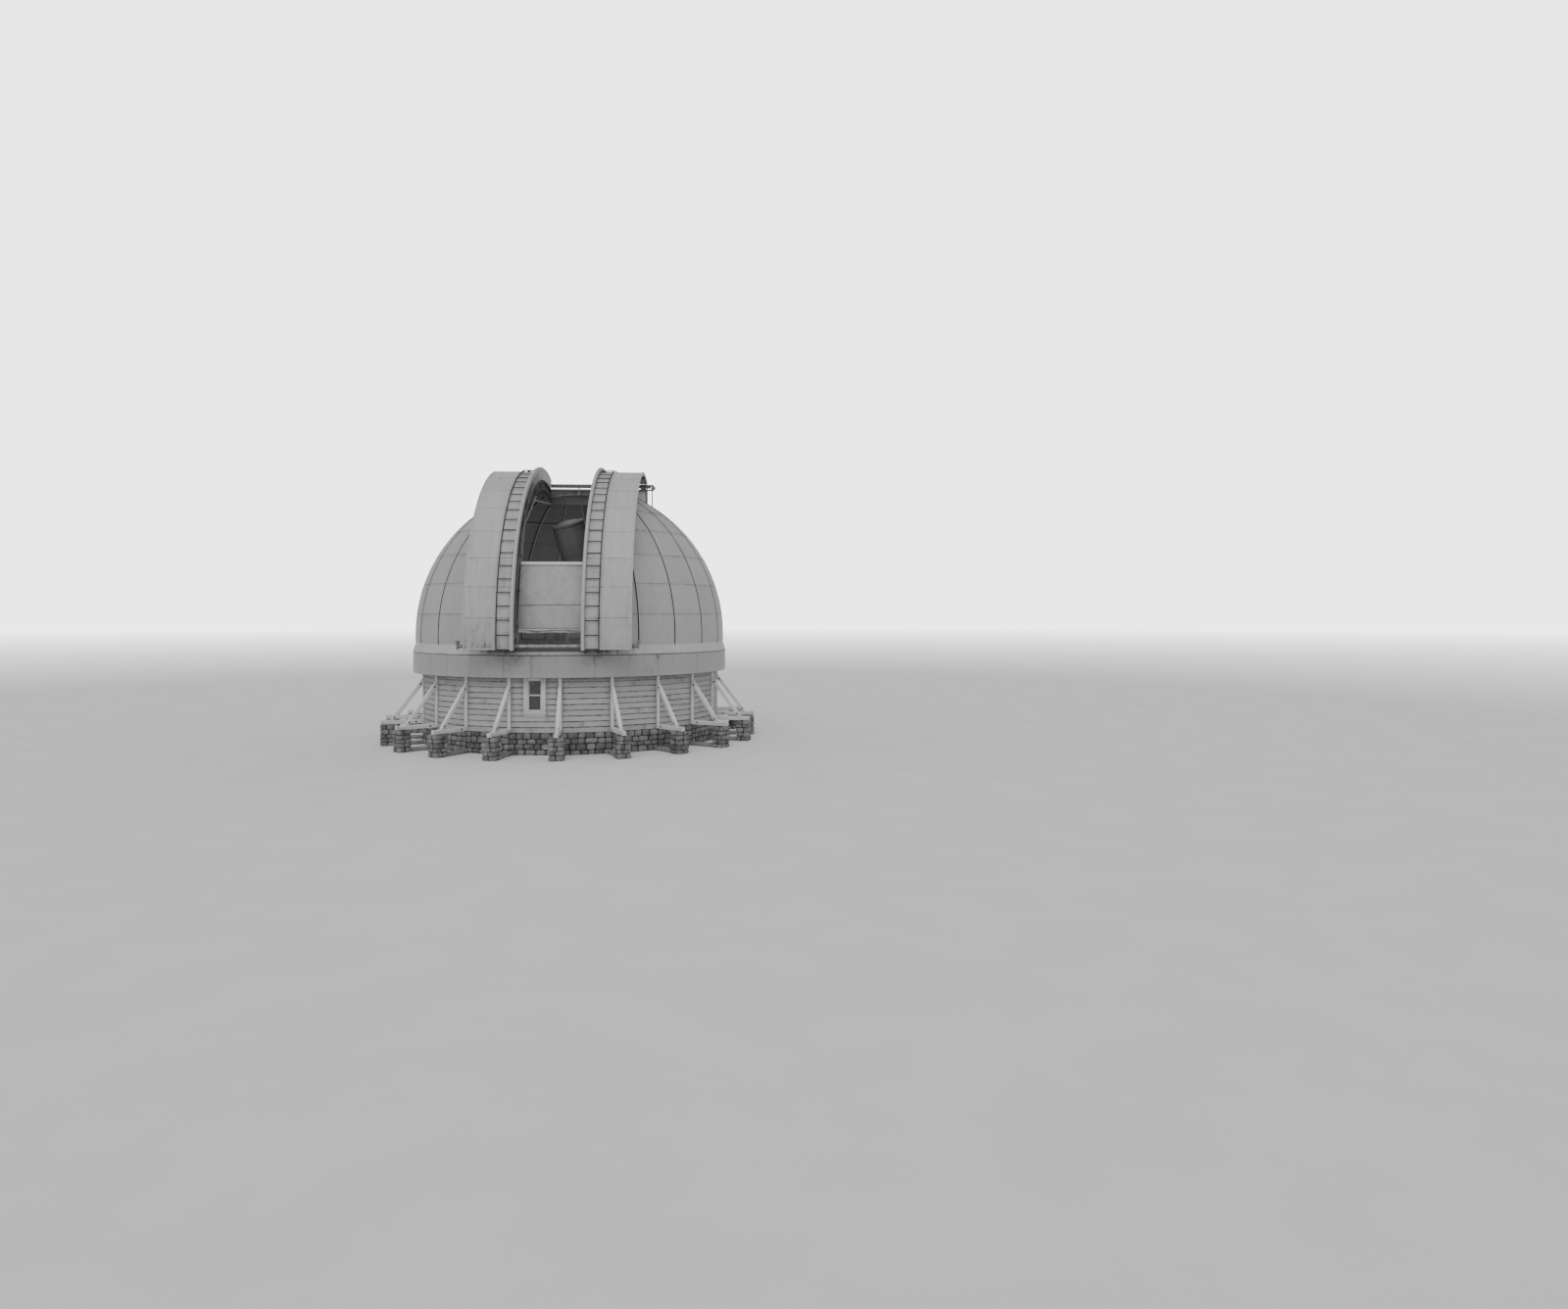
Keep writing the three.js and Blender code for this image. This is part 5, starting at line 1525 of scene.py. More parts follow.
def rail(parts, z0, z1, half, y0, y1, slot):
    """Two angles, one at the top and one at the bottom, and a bar between them set back by 6 mm."""
    middle, tall = CENTRE + (z0 + z1) / 2, (z1 - z0) / 2
    path = np.linspace((-half, 0, middle), (half, 0, middle), 9)
    inner, under, end = y0 + 0.008, tall - 0.008, tall - 0.019
    angle = np.array([(y0, tall), (y1, tall), (y1, under), (inner, under), (inner, end), (y0, end)])
    parts.add(*carried(angle, path, Y, Z), 0.3)
    parts.add(*carried(angle[::-1] * [1, -1], path, Y, Z), 0.3)
    bar = rect(y0 + 0.006, y0 + 0.016, 0.004 - tall, tall - 0.004)
    parts.add(*carried(bar, path, Y, Z), 0.35, 0.35, (slot, slot))


def spun(profile, centre, axis, side, around=32):
    """A profile of (along, radius) turned about an axis: centre + along * axis + radius * (cos t * side + sin t *
    the third way). It makes a wheel, a pulley or a collar."""
    profile, side, axis = np.asarray(profile, float), unit(side), unit(axis)
    turn = circle(around)
    ring = turn[:, :1] * side + turn[:, 1:] * np.cross(axis, side)
    points = np.asarray(centre) + profile[:, None, :1] * axis + profile[:, None, 1:] * ring
    widest = profile[:, 1].max()
    girth = 2 * np.pi / around * widest * np.arange(around + 1)
    uv = quad_uv(travelled(profile), girth)[..., ::-1]
    return points, tube_faces(len(profile), around), [uv, np.stack([turn[::-1], turn]) * widest]


print("the shutters' wheels run at a height of", round(WHEEL_LINE, 3))


# %% Legs, pulleys and bolts
def leg(parts, x, top):
    """An angle-iron leg from the shell to the rails, on a small foot plate bent to the shell, with two bolts."""
    y = 1.312
    foot = math.sqrt(DOME**2 - x * x - y * y)
    path = np.linspace((x, y, CENTRE + foot - 0.02), (x, y, CENTRE + top), 5)
    flip = 1 if x > 0 else -1
    section = mm((-19, -20), (19, -20), (19, -14), (-13, -14), (-13, 20), (-19, 20)) * [flip, 1]
    parts.add(*carried(section, path, X, Y), 0.4)
    up = np.array([x, y, foot]) / DOME
    side = unit(np.cross(Y, up))
    axes = np.stack([side, np.cross(up, side), up])
    base = np.array([x, y, CENTRE + foot]) + 0.005 * up
    parts.add(*blocks(base, (0.055, 0.04, 0.006), 0.002, axes), 0.3)
    spots = base + 0.006 * up + np.array([[0.038], [-0.038]]) * side
    parts.add(*domed_heads(spots, up, side, 0.009, 0.007), 0.3)


def top_track():
    """Two rails with lips between them, four legs, a pulley at each end and bolts along the rails."""
    parts = Parts()
    rail(parts, 4.56, 4.61, 2.38, 1.2905, 1.3345, 1)
    rail(parts, 4.70, 4.765, 2.38, 1.2905, 1.3345, 0)
    for y, low in ((1.2905, 4.677), (1.3305, 4.642)):
        lip = rect(y, y + 0.004, low, 4.712)
        parts.add(*carried(lip, np.linspace((-2.29, 0, CENTRE), (2.29, 0, CENTRE), 9), Y, Z), 0.2)
    for x in (0.0, 1.12, -1.12):
        parts.add(*blocks((x, TRACK_Y, WHEEL_LINE), (0.018, 0.02, 0.05), 0.003), 0.5)
    for x in (2.175, 2.335, -2.175, -2.335):
        leg(parts, x, 4.704)
    for s in (1, -1):
        groove = mirrored(mm((-26, 12), (-26, 64), (-20, 69.5), (-12, 69), (-4, 56)))
        at = (s * 2.37, TRACK_Y, WHEEL_LINE)
        parts.add(*spun(groove, at, Y, X, 28), 0.75)
        pin = mirrored(mm((-37, 6), (-37, 15), (-33, 18)))
        parts.add(*spun(pin, at, Y, X, 12), 0.3)
        for y in (1.281, 1.344):
            parts.add(*blocks((s * 2.36, y, CENTRE + 4.662), (0.024, 0.0045, 0.1), 0.002), 0.35)
    along = [s * x for s in (1, -1) for x in (0.3, 0.75, 1.3, 1.8, 2.24)]
    bolts = np.array([(x, 1.2895, CENTRE + z) for x in along for z in (4.585, 4.732)])
    parts.add(*domed_heads(bolts, -Y, Z, 0.009, 0.006), 0.6)
    return parts


place(top_track(), "top_track_rails", [TRACK_IRON, TRACK_PAINT], "dome", ["top_track"], 35)


# %% The plate under the track
def apron():
    """The plate under the track, in four sheets: their joints are covered by strips, with a strip along the foot."""
    x = np.unique(np.concatenate([np.linspace(-2.1545, 2.1545, 60), [-1.07, -1.069, 0, 0.001, 1.07, 1.071]]))
    share = np.linspace(0, 1, 7)
    top = 4.5595

    def face(y, wave):
        low = np.sqrt(4.596**2 - x**2 - y**2)
        z = low + (top - low) * share[:, None]
        at = np.stack([np.broadcast_to(x, z.shape), np.full(z.shape, y), CENTRE + z], -1)
        at[..., 1] += wave * swell(at, 0.4, 9) * np.sin(np.pi * share)[:, None]
        return at

    front, back = face(1.3025, 0.004), face(1.3215, 0)
    uv = np.stack([front[..., 0], front[..., 2] - CENTRE], -1)
    # darker along the top and bottom edges, and painted shade behind the slit, in the middle
    grime = 0.1 + 0.5 * (share[:, None] < 0.1) + 0.4 * (share[:, None] > 0.9) + 0.7 * (np.abs(x) < 0.97)
    sheet = np.searchsorted([-1.07, 0, 1.07], x[:-1] + 1e-4)
    # The outer sheets take a pale tone and the inner ones a dark one: painted light on the outer sheets, which the
    # shutters shade, and painted shade behind the slit.
    tone = np.array([0.9, 0.3, 0.2, 1.0])[sheet][None].repeat(6, 0).ravel()
    parts = Parts().add(*slab(front, back, uv), tone, grime)
    for at in (-2.14, -1.07, 0.0, 1.07, 2.14):
        low = math.sqrt(4.59**2 - at**2 - 1.3**2)
        path = np.linspace((at, 1.2995, CENTRE + low), (at, 1.2995, CENTRE + top), 4)
        strip = mm((-15, 3), (-15, -1), (-11, -3), (11, -3), (15, -1), (15, 3))
        parts.add(*carried(strip, path, X, Y), 0.4, 0.3)
    foot = np.linspace(-2.1, 2.1, 61)
    path = np.stack([foot, np.full(61, 1.294), CENTRE + np.sqrt(DOME**2 - foot**2 - 1.294**2)], -1)
    strip = mm((-12, 0), (8, 0), (8, 30), (3, 30), (3, 6), (-12, 6))
    parts.add(*carried(strip, path, Y, Z), 0.3, 0.5)
    return parts


place(apron(), "rear_apron_sheets", [APRON_PAINT], "dome", ["rear_apron"], 20)


# %% Bottom track
def bottom_track():
    """A rail with a rounded nose, arms back to the dome, and a roller in a bracket at each end."""
    parts = Parts()
    t = np.linspace(-0.5 * np.pi, 0.5 * np.pi, 9)
    nose = np.stack([-0.012 - 0.0225 * np.cos(t), 0.04 * np.sin(t)], -1)
    back = mm((-12, 47), (34, 47), (34, 39), (0, 39), (0, -39), (30, -39))
    section = np.concatenate([mm((30, -47), (-12, -47)), nose, back])
    # painted shade on the rail everywhere but the front of its nose, most at the nose's top and underside
    edge = np.concatenate([[0.8] * 2, 0.25 + 1.1 * np.sin(t) ** 4, [0.8] * 6])
    # Between the lips the rail takes the pale track paint; behind the shutters it takes the dark iron, as painted
    # shade.
    for x0, x1, slot in ((-2.368, -0.746, 1), (-0.745, 0.745, 0), (0.746, 2.368, 1)):
        path = np.linspace((x0, -4.815, CENTRE - 0.2525), (x1, -4.815, CENTRE - 0.2525), 14)
        parts.add(*carried(section, path, Y, Z), 0.25, edge, (slot, slot))
    for s in (1, -1):
        for at in (1.1, 1.65, 2.2):
            back = -math.sqrt(DOME**2 - at * at - 0.31**2) + 0.01
            arm = np.linspace((s * at, -4.843, CENTRE - 0.3), (s * at, back, CENTRE - 0.3), 4)
            tee = mm((-28, 0), (28, 0), (28, -7), (5, -7), (4, -33), (-4, -33), (-5, -7), (-28, -7))
            parts.add(*carried(tee, arm, X, Z), 0.35, 0.3, (1, 1))
        plate = [(s * 2.334, -4.8, CENTRE - 0.235), (s * 2.371, -4.8, CENTRE - 0.235)]
        parts.add(*blocks(plate, (0.0038, 0.048, 0.098), 0.002), 0.3, 0.3, (1, 1))
        parts.add(*blocks((s * 2.3525, -4.8, CENTRE - 0.326), (0.022, 0.048, 0.006), 0.002), 0.3, 0.3, (1, 1))
        wheel = mirrored(mm((-62, 8), (-62, 40), (-56, 46.5), (-20, 46.5), (-12, 38)))
        axle = (s * 2.36, -4.805, CENTRE - 0.145)
        parts.add(*spun(wheel, axle, Y, X, 24), 0.5, 0.0, (1, 1))
        pin = mm((-64, 4), (-64, 12), (63, 12), (63, 4))
        parts.add(*spun(pin, axle, Y, X, 10), 0.2, 0.0, (1, 1))
    return parts


place(bottom_track(), "bottom_track_rail", [TRACK_PAINT, HANGER_IRON], "dome", ["bottom_track"], 35)

# %% [markdown]
# ## The wind screen
#
# A canvas screen closes the lower part of the slit and slides up and down in it. Canvas is laced over a curved
# timber frame with three battens, and the spare cloth is gathered in a loose roll along the bottom. The frame is
# timber profiles carried round the slit's arc. The canvas could be simulated, but it is stretched too tight to
# hang, so its shallow puckers come straight from a formula.


# %% Screen frame
BATTEN = 10.7


def across_bar(parts, angle, radius, wide, deep, half, tone, grime=0.1):
    """A bevelled bar across the slit at an angle, with its outer face at the radius."""
    out = slit_out(angle)
    path = in_slit(np.linspace(-half, half, 13), radius - deep / 2, angle)
    up = np.cross(X, out)
    up = up * np.sign(up[2])
    parts.add(*carried(timber_profile(wide / 2, deep / 2, 0.005), path, up, out, (angle, 0)), tone, grime)


def screen_frame():
    """Two stiles along the arc, three bars across them, and runners held by straps."""
    parts = Parts()
    stile = timber_profile(0.0345, 0.0245, 0.004) + [0.815, 0.0]
    for sign in (1, -1):
        parts.add(*along_arc(stile, sign, 4.455, 2.62, 26.45, 1.5), 0.5 + 0.1 * sign, 0.15)
        for angle in (3.2, 24.0):
            out = slit_out(angle)
            axes = np.stack([X, np.cross(out, X), out])
            runner, strap = in_slit(sign * 0.8535, 4.455, angle), in_slit(sign * 0.8, 4.431, angle)
            parts.add(*blocks(runner, (0.0052, 0.029, 0.0245), 0.0015, axes), 0.3, 0.3, (1, 1))
            parts.add(*blocks(strap, (0.048, 0.02, 0.0022), 0.001, axes), 0.3, 0.3, (1, 1))
    across_bar(parts, 3.1, 4.472, 0.076, 0.042, 0.848, 0.5)
    across_bar(parts, BATTEN, 4.472, 0.06, 0.042, 0.848, 0.45)
    across_bar(parts, 25.9, 4.509, 0.092, 0.078, 0.8485, 0.8, 0.0)
    return parts


place(screen_frame(), "screen_timbers", [TRIM_PAINT, IRON], "wind_screen", ["screen_frame"], 30)

# %% [markdown]
# The canvas is pulled tight between the battens. It draws in a little between them, puckers run in from the laced
# edges, and slack cloth leaves shallow hollows. Height over the frame is the sum of these: a bow of sines, short
# waves that die away from each edge, and smooth noise. A stitched seam crosses it at the middle batten, where two
# widths of cloth overlap by a finger's breadth.


# %% Canvas
CANVAS_LOW, CANVAS_HIGH = 2.92, 25.2
CANVAS_HALF = 0.8455
CLOTH = 4.49


def canvas_relief(x, angle):
    """How far the cloth stands inside its outer radius, in metres."""
    u = np.abs(x) / CANVAS_HALF
    edge = np.exp(-(1 - u) / 0.07)
    lacing = edge * (0.5 + 0.5 * np.cos(2 * np.pi * (angle + 0.15 * np.sin(angle * 3)) / 1.55)) * 0.0035
    panel = np.where(angle < BATTEN, (angle - 2.9) / 7.8, (angle - BATTEN) / 14.5)
    middle = np.sin(np.pi * np.clip((x + CANVAS_HALF) / (2 * CANVAS_HALF), 0, 1))
    bow = 0.0048 * np.sin(np.pi * np.clip(panel, 0, 1)) * middle**0.5
    spot = np.stack([x, np.radians(angle) * CLOTH, 0 * x], -1)
    slack = 0.0024 * swell(spot * [1.0, 0.6, 1], 0.42, 51) + 0.0012 * swell(spot, 0.13, 52)
    wave = 0.5 + 0.5 * np.sin(24 * (spot[..., 0] + 0.8 * spot[..., 1]) + 3 * noise(spot, 0.5, 53))
    slant = 0.0011 * wave * np.exp(-panel / 0.18)
    ends = np.clip((CANVAS_HIGH - angle) / 0.8, 0, 1) * np.clip((angle - CANVAS_LOW) / 0.5, 0, 1)
    return lacing + (bow + slack + slant) * np.clip(np.abs(angle - BATTEN) / 0.9, 0, 1) * ends


def canvas_sheet():
    """Two grids that stand the relief inside 4.4915 m and 4.4898 m, and 2.2 mm out at the seam."""
    x = np.linspace(-CANVAS_HALF, CANVAS_HALF, 121)
    angle = np.unique(np.concatenate([np.linspace(CANVAS_LOW, CANVAS_HIGH, 141), np.arange(10.3, 11.3, 0.05)]))
    aa, xx = np.meshgrid(angle, x, indexing="ij")
    tilt = 10.85 + 0.12 * xx / CANVAS_HALF
    over = 0.0022 * (np.abs(aa - tilt) < 0.22)
    depth = canvas_relief(xx, aa)
    front = in_slit(xx, 4.4915 - depth + over, aa)
    back = in_slit(xx, 4.4898 - depth + over, aa)
    spot = np.stack([xx, np.radians(aa) * CLOTH, 0 * xx], -1)
    # Painted shade: a shadow line under the seam's overlap, a shadow under the top batten, darker towards the bottom,
    # and shade at both laced edges, deepest on the left; a darker patch at the upper right and darker blotches.
    seam = 3.0 * hump(aa, tilt - 0.2, 0.12) + 0.5 * hump(aa, tilt + 0.2, 0.06)
    patch = 0.16 * (aa > 18.5) * (aa < 21.2) * (xx > 0.28) + 0.14 * np.clip(noise(spot, 0.5, 57), 0, 1)
    low = 0.22 * np.exp(-(aa - CANVAS_LOW) / 1.3) + 1.2 * np.exp(-(CANVAS_HIGH - aa) / 0.3)
    side = 0.3 * np.exp(-(CANVAS_HALF + xx) / 0.12) + 0.12 * np.exp(-(CANVAS_HALF - xx) / 0.08)
    side = side + 0.35 * hump(xx, -0.8, 0.34)
    return Parts().add(*slab(front, back, spot[..., :2]), 0.5, seam + patch + low + side)


canvas = place(canvas_sheet(), "canvas_sheet", [CANVAS], "wind_screen", ["screen_canvas"], 60)

# %% [markdown]
# Below the last batten the spare cloth is rolled and tied, and hangs in uneven lobes with creases that slant down
# from the ties. A plain tube would look like a pipe. So the section is a flattened loop whose lower side drops by
# a different amount along the roll, and creases are ridged noise, 1 - |noise|, drawn out along the slant. Painted
# shade darkens the creases and the listed folds.


# %% Gathered roll
ROLL_HALF = 0.84
FOLDS = (-0.84, -0.28, 0.35, -0.75), (-0.5, 0.45, -0.6, 0.05), (0.3, 0.84, -0.05, 0.0), (0.42, 0.8, -0.2, -0.8)


def roll_points():
    """The cloth's section is a curl: angle v runs from the top outwards and under, for 1.4 turns, and the distance
    from the middle shrinks in the last part. The lower side is stretched by the droop, and creases are added, with
    painted shade along them and along the listed folds."""
    x = np.linspace(-ROLL_HALF, ROLL_HALF, 241)
    turns = np.linspace(0, 1.4, 81)
    xx, ww = np.meshgrid(x, turns, indexing="ij")
    vv = np.pi * (0.5 - 2 * ww)
    curl = 1 - 0.5 * np.clip((ww - 0.9) / 0.5, 0, 1)
    share = (xx + ROLL_HALF) / (2 * ROLL_HALF)
    lobes = 0.55 + 0.28 * np.cos(2 * np.pi * (share - 0.27) / 0.62) + 0.17 * np.cos(2 * np.pi * (share - 0.86) / 0.23)
    droop = np.clip(lobes, 0.12, 1.0) * np.clip(share / 0.06, 0.25, 1)
    up = np.sin(vv)
    low = curl * np.where(up < 0, up * (0.074 + 0.019 * droop), up * 0.03)
    out = curl * np.sign(np.cos(vv)) * np.abs(np.cos(vv)) ** 0.6 * (0.030 + 0.012 * droop * np.clip(0.3 - up, 0, 1))
    slant = xx * 2.2 + low * 9 + 0.25 * np.sin(xx * 5)
    ridge = 1 - np.abs(noise(np.stack([slant, low * 5, 0.2 * np.cos(vv)], -1), 0.16, 81))
    crease = 0.012 * (ridge**3 - 0.4) + 0.004 * noise(np.stack([xx, low, out], -1), 0.07, 82)
    crease = crease * np.clip(0.75 - up, 0.15, 1) * curl**3
    tie = np.exp(-((((share * 6) % 1) - 0.5) ** 2) / 0.004)
    radius = np.hypot(out, low)
    grow = (radius * (1 - 0.16 * tie * (up < 0.2)) + crease) / radius
    height = 0.168 + low * grow * 0.92
    outwards_by = np.clip(out * grow, -0.046, 0.046)
    # painted shade in the creases and along the listed folds
    crease_shade = np.clip(0.75 - ridge, 0, 1) * 1.2 * (up < 0.4)
    for start, end, high, low_end in FOLDS:
        way = (xx - start) / (end - start)
        fold = hump(up, high + (low_end - high) * way, 0.26)
        crease_shade = crease_shade + (1.3 - 0.5 * (start > 0)) * fold * (way > 0) * (way < 1)
    return xx, 4.4905 + outwards_by, height, crease_shade


def gathered_roll():
    """The roll, at the slit angle whose sine is height / radius, and its area: half of |diagonal x diagonal| a quad."""
    xx, radius, height, crease_shade = roll_points()
    angle = np.degrees(np.arcsin(np.clip(height, 0.083, 0.201) / radius))
    points = in_slit(xx, radius, angle)
    rows, around = xx.shape
    side = grid_faces(rows, around)
    uv = quad_uv(0.00705 * np.arange(rows), 0.0062 * np.arange(around))
    parts = Parts().add(points, [side], [uv], 0.72, crease_shade, closed=False)
    diagonals = points[1:, 1:] - points[:-1, :-1], points[1:, :-1] - points[:-1, 1:]
    return parts, float(0.5 * np.linalg.norm(np.cross(*diagonals), axis=-1).sum())


roll, roll_area = gathered_roll()
gathers = place(roll, "canvas_gathers", [CANVAS], "wind_screen", ["screen_canvas_gathers"], 70)
thickness = gathers.modifiers.new("cloth_thickness", "SOLIDIFY")
thickness.thickness = 0.0016
thickness.offset = 0
print("cloth in the roll: square metres", round(roll_area, 3))

# %% [markdown]
# ## The telescope
#
# Through the slit shows the upper end of a large tube: a riveted barrel with a heavy rim, a shallow cover, bands
# and a small finder beside it. It hangs on a cross axis from a mount on a stone pier, with a counterweight on the
# far side. Nearly all of it is turned work, so each part is a profile of (along, radius) spun about its own axis.

# %% Telescope axes
LEAN, TIP = math.radians(15.2), math.radians(11.5)
TUBE_MIDDLE = np.array([0.375, -0.231, 4.8])
ALONG = np.array([-math.sin(LEAN) * math.cos(TIP), -math.sin(TIP), math.cos(LEAN) * math.cos(TIP)])
ACROSS = np.array([math.cos(LEAN), 0, math.sin(LEAN)])
FRONT = np.cross(ACROSS, ALONG)
MOUNT_HEAD = TUBE_MIDDLE - 0.9 * ACROSS
TUBE_AXES = np.stack([ACROSS, ALONG, FRONT])
BARREL = 0.4785
BANDS = (1.66, 0.92, 0.02, -0.9, -1.62)
print("the telescope points along", ALONG.round(3), "with bands at", BANDS)


def ring_band(s, radius, wide, proud=0.006):
    """The profile of a band round the tube: a low rounded step."""
    edge = -wide / 2
    return mirrored([(edge, -0.004), (edge, 0.7 * proud), (edge + 0.004, proud)]) + [s, radius]


# %% Tube
def telescope_tube():
    """One spun profile from foot to cover, then bands, bolt heads and two seam strips."""
    parts = Parts()
    foot = mm((-1850, 30), (-1850, 470), (-1846, 492), (-1838, 498.5), (-1772, 498.5), (-1764, 494), (-1762, 478.5))
    barrel = np.stack([np.linspace(-1.7, 1.7, 18), np.full(18, BARREL)], -1)
    rim = mm((1762, 478.5), (1764, 494), (1772, 498.5), (1838, 498.5), (1846, 494), (1849, 486))
    cover = mm((1849, 360), (1857, 350), (1872, 340), (1900, 260), (1914, 150), (1918, 50), (1935, 45), (1940, 30))
    wall = np.concatenate([foot, barrel, rim, cover])
    points, groups, uvs = spun(wall, TUBE_MIDDLE, ALONG, ACROSS, 96)
    uvs[0] = uvs[0][..., ::-1]
    near = np.zeros((len(wall), 96))
    near[7:26] = 0.08
    near[[6, 25]] = 0.7
    around = np.arange(96)
    tone = np.where(np.arange(len(wall) - 1) > 29, 0.6, 0.5)[:, None] + 0.08 * np.sin(around * 0.7)[None]
    parts.add(points, groups, uvs, tone.ravel(), near)
    for s in BANDS:
        parts.add(*spun(ring_band(s, BARREL, 0.03), TUBE_MIDDLE, ALONG, ACROSS, 96), 0.8, 0.15)
    for s in (0.33, -0.33):
        parts.add(*spun(ring_band(s, BARREL, 0.075, 0.016), TUBE_MIDDLE, ALONG, ACROSS, 96), 0.35, 0.2, (1, 1))
    s = np.tile([1.805, *BANDS, -1.805], 36)
    reach = np.tile([0.4985, *[0.4845] * 5, 0.4985], 36)
    out = circle(36).repeat(7, 0) @ [ACROSS, FRONT]
    spots = TUBE_MIDDLE + s[:, None] * ALONG + reach[:, None] * out
    parts.add(*domed_heads(spots, out, ALONG, 0.008, 0.005, 6), 0.6)
    for angle in np.radians([62.0, 242.0]):
        out = math.cos(angle) * ACROSS + math.sin(angle) * FRONT
        side = np.cross(ALONG, out)
        path = TUBE_MIDDLE + np.linspace(-1.76, 1.76, 9)[:, None] * ALONG + 0.4775 * out
        strip = mm((-20, -1), (20, -1), (20, 2), (17, 4), (-17, 4), (-20, 2))
        parts.add(*carried(strip, path, side, out), 0.6, 0.2)
    return parts


def finder(parts):
    """A slim tube on two feet beside the rim, and a lug at the rim's left end."""
    out = unit(-ACROSS * math.cos(math.radians(12)) + FRONT * math.sin(math.radians(12)))
    start = TUBE_MIDDLE + 0.542 * out
    eyepiece = (1160, 6), (1160, 20), (1165, 24), (1200, 24), (1203, 30), (1220, 30)
    slim_tube = mm(*eyepiece, (1222, 32), (1560, 34), (1562, 38), (1620, 39), (1624, 35), (1624, 10))
    parts.add(*spun(slim_tube, start, ALONG, out, 20), 0.95)
    side = np.cross(ALONG, out)
    axes = np.stack([out, side, ALONG])
    feet = [TUBE_MIDDLE + 0.497 * out + s * ALONG for s in (1.27, 1.5)]
    parts.add(*blocks(feet, (0.024, 0.014, 0.01), 0.003, axes), 0.5, 0.1, (1, 1))
    for angle in (190, 62, 300):
        way = math.cos(math.radians(angle)) * ACROSS + math.sin(math.radians(angle)) * FRONT
        spot = TUBE_MIDDLE + 1.812 * ALONG + 0.512 * way
        parts.add(*blocks(spot, (0.022, 0.018, 0.03), 0.005, np.stack([way, np.cross(ALONG, way), ALONG])), 0.95)
    return parts


tube = finder(telescope_tube())
place(tube, "telescope_barrel", [TUBE_PAINT, IRON], "house", ["telescope_tube"], 32)


# %% Mount and counterweight
def telescope_mount():
    """Base, flared neck, head, drive housing, a shaft with three discs, and the tube's saddle."""
    parts = Parts()
    x, y, z = MOUNT_HEAD
    parts.add(*blocks((x, y, 3.7602), (0.279, 0.279, 0.0595), 0.012), 0.4)
    parts.add(*blocks((x, y, 3.827), (0.2, 0.2, 0.012), 0.005), 0.5)
    flare = (3835, 100), (3835, 185), (3850, 186), (3880, 158), (3950, 147)
    neck = mm(*flare, (4220, 142), (4280, 149), (4310, 160), (4330, 160), (4330, 100))
    parts.add(*spun(neck, (x, y, 0), Z, X, 36), 0.5)
    parts.add(*blocks((x, y, z), (0.19, 0.2, 0.245), 0.035), 0.55)
    parts.add(*blocks([(x, y - 0.203, z), (x, y + 0.203, z)], (0.12, 0.008, 0.16), 0.004), 0.4)
    housing = (-270, 50), (-270, 150), (-250, 165), (190, 165), (200, 200), (215, 209.5), (250, 209.5)
    drive = mm(*housing, (255, 150), (300, 130), (395, 130), (400, 209.5), (425, 209.5), (425, 50))
    parts.add(*spun(drive, MOUNT_HEAD, ACROSS, FRONT, 40), 0.6)
    shaft = mm((-1200, 50), (-1200, 75), (-420, 75), (-400, 100), (-300, 115), (-260, 120), (-260, 50))
    parts.add(*spun(shaft, MOUNT_HEAD, ACROSS, FRONT, 28), 0.35)
    disc = mirrored(mm((-45, 70), (-45, 310), (-39, 322), (-29, 328)))
    for middle in (-1.19, -1.095, -1.0):
        parts.add(*spun(disc + [middle, 0], MOUNT_HEAD, ACROSS, FRONT, 48), 0.3)
    nut = mm((-1250, 30), (-1250, 90), (-1235, 100), (-1225, 100), (-1225, 30))
    parts.add(*spun(nut, MOUNT_HEAD, ACROSS, FRONT, 6), 0.5)
    parts.add(*blocks(TUBE_MIDDLE - 0.452 * ACROSS, (0.03, 0.4, 0.16), 0.01, TUBE_AXES), 0.45)
    bolts = np.array([(x + dx, y + dy, 3.8198) for dx in (-0.24, 0.24) for dy in (-0.24, 0.24)])
    parts.add(*domed_heads(bolts, Z, Y, 0.022, 0.016), 0.5)
    return parts


place(telescope_mount(), "telescope_mounting", [IRON], "house", ["telescope_mount"], 32)

# %% [markdown]
# The pier is masonry with a hard plaster coat. Its solid has the right shape already, so it only needs the stone
# finish, whose patterns sit on the object's own coordinates and so do not need a UV map.

# %% The telescope's pier
pier_finish = stone_finish("pier_plaster", 0.34, 0.46, 0.56, 0.003)
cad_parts["telescope_pier"].data.materials[0] = pier_finish

# %% [markdown]
# ## The stage and the light
#
# A pale floor lies under the object, with an even sky above it and a wide soft lamp high in front, a little to the
# left. That is close to the hazy daylight of the photograph. The sky there is far brighter than anything it lights,
# so the world shows the camera a white backdrop, while the light that it gives stays softer. Two lamps inside keep
# the telescope and the far side of the shell readable, as the haze does in the photograph.


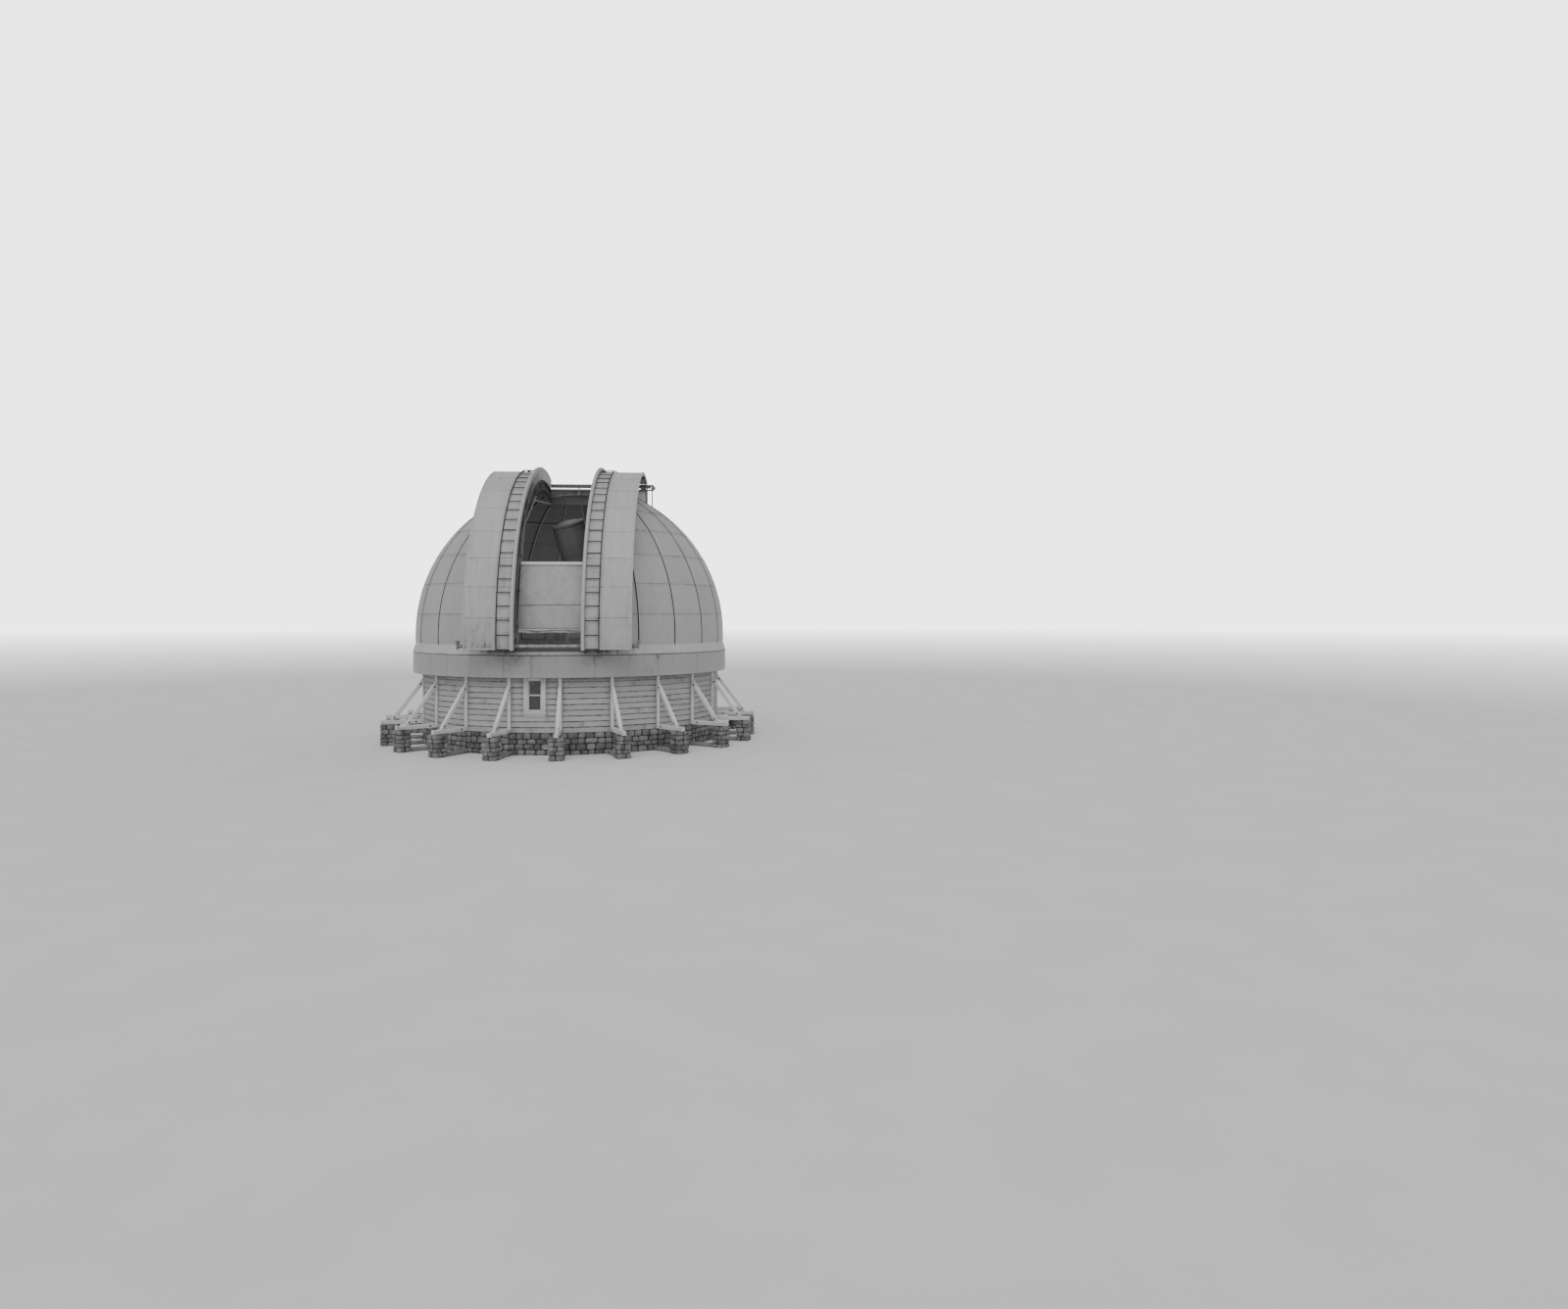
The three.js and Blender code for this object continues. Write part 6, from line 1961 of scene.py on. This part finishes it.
# %% Stage
def stage_floor(radius=380.0, rings=24, around=96):
    """A flat disc, z = 0, as rings of points whose radius grows by a constant factor. Far off it fades into the sky."""
    r = np.geomspace(0.4, radius, rings)[:, None]
    a = np.linspace(0, 2 * np.pi, around, endpoint=False)[None, :]
    points = np.stack([r * np.cos(a), r * np.sin(a), 0 * (r + a)], -1)
    points = np.concatenate([points.reshape(-1, 3), [[0, 0, 0]]])
    fan = np.stack([np.arange(around), np.roll(np.arange(around), -1), np.full(around, rings * around)], -1)
    faces = grid_faces(rings, around, round_columns=True)[:, ::-1]
    parts = Parts().add(points, [faces, fan], [points[faces][..., :2], points[fan][..., :2]], closed=False)
    floor = bpy.data.objects.new("stage_floor", parts.mesh("stage_floor"))
    bpy.context.scene.collection.objects.link(floor)
    f = Finish("stage_paint", roughness=0.9, specular=0.1)
    f.paint(f.noise(f.where("Object"), 0.7, 3), (0.0, 0.66), (1.0, 0.7))
    away = f.node("VectorMath", {0: f.where("Object")}, operation="LENGTH").outputs["Value"]
    glow = f.spread(away, 35, 230, 0, 1)
    f.set(f.shader, {"Emission Color": (1, 1, 1, 1), "Emission Strength": f.product(glow, 3.0)})
    floor.data.materials.append(f.material)


stage_floor()

world = bpy.data.worlds.new("sky")
bpy.context.scene.world = world
world.use_nodes = True
sky = world.node_tree
lit, backdrop = sky.nodes["Background"], sky.nodes.new("ShaderNodeBackground")
for light, colour, strength in ((lit, (0.95, 0.97, 1.0, 1), 0.78), (backdrop, (1, 1, 1, 1), 3.6)):
    light.inputs["Color"].default_value = colour
    light.inputs["Strength"].default_value = strength
rays = sky.nodes.new("ShaderNodeLightPath")
choose = sky.nodes.new("ShaderNodeMixShader")
sky.links.new(rays.outputs["Is Camera Ray"], choose.inputs["Fac"])
sky.links.new(lit.outputs[0], choose.inputs[1])
sky.links.new(backdrop.outputs[0], choose.inputs[2])
sky.links.new(choose.outputs[0], sky.nodes["World Output"].inputs["Surface"])

key = bpy.data.objects.new("key", bpy.data.lights.new("key", "SUN"))
key.data.energy = 1.2
key.data.angle = math.radians(50)
key.rotation_euler = (math.radians(40), 0, math.radians(-9))
bpy.context.scene.collection.objects.link(key)

for name, kind, energy, size, place_at, tilt, turn in (
    ("inside_fill", "POINT", 95, 1.0, (0.2, 1.7, 3.1), 0, 0),
    ("slit_fill", "AREA", 9, 1.3, (-2.1, -2.2, 5.1), 82, -50),
):
    fill = bpy.data.objects.new(name, bpy.data.lights.new(name, kind))
    fill.data.energy = energy
    if kind == "AREA":
        fill.data.size = size
    else:
        fill.data.shadow_soft_size = size
    fill.location = place_at
    fill.rotation_euler = (math.radians(tilt), 0, math.radians(turn))
    fill.visible_camera = False
    bpy.context.scene.collection.objects.link(fill)
print("lights:", [light.name for light in bpy.data.lights])
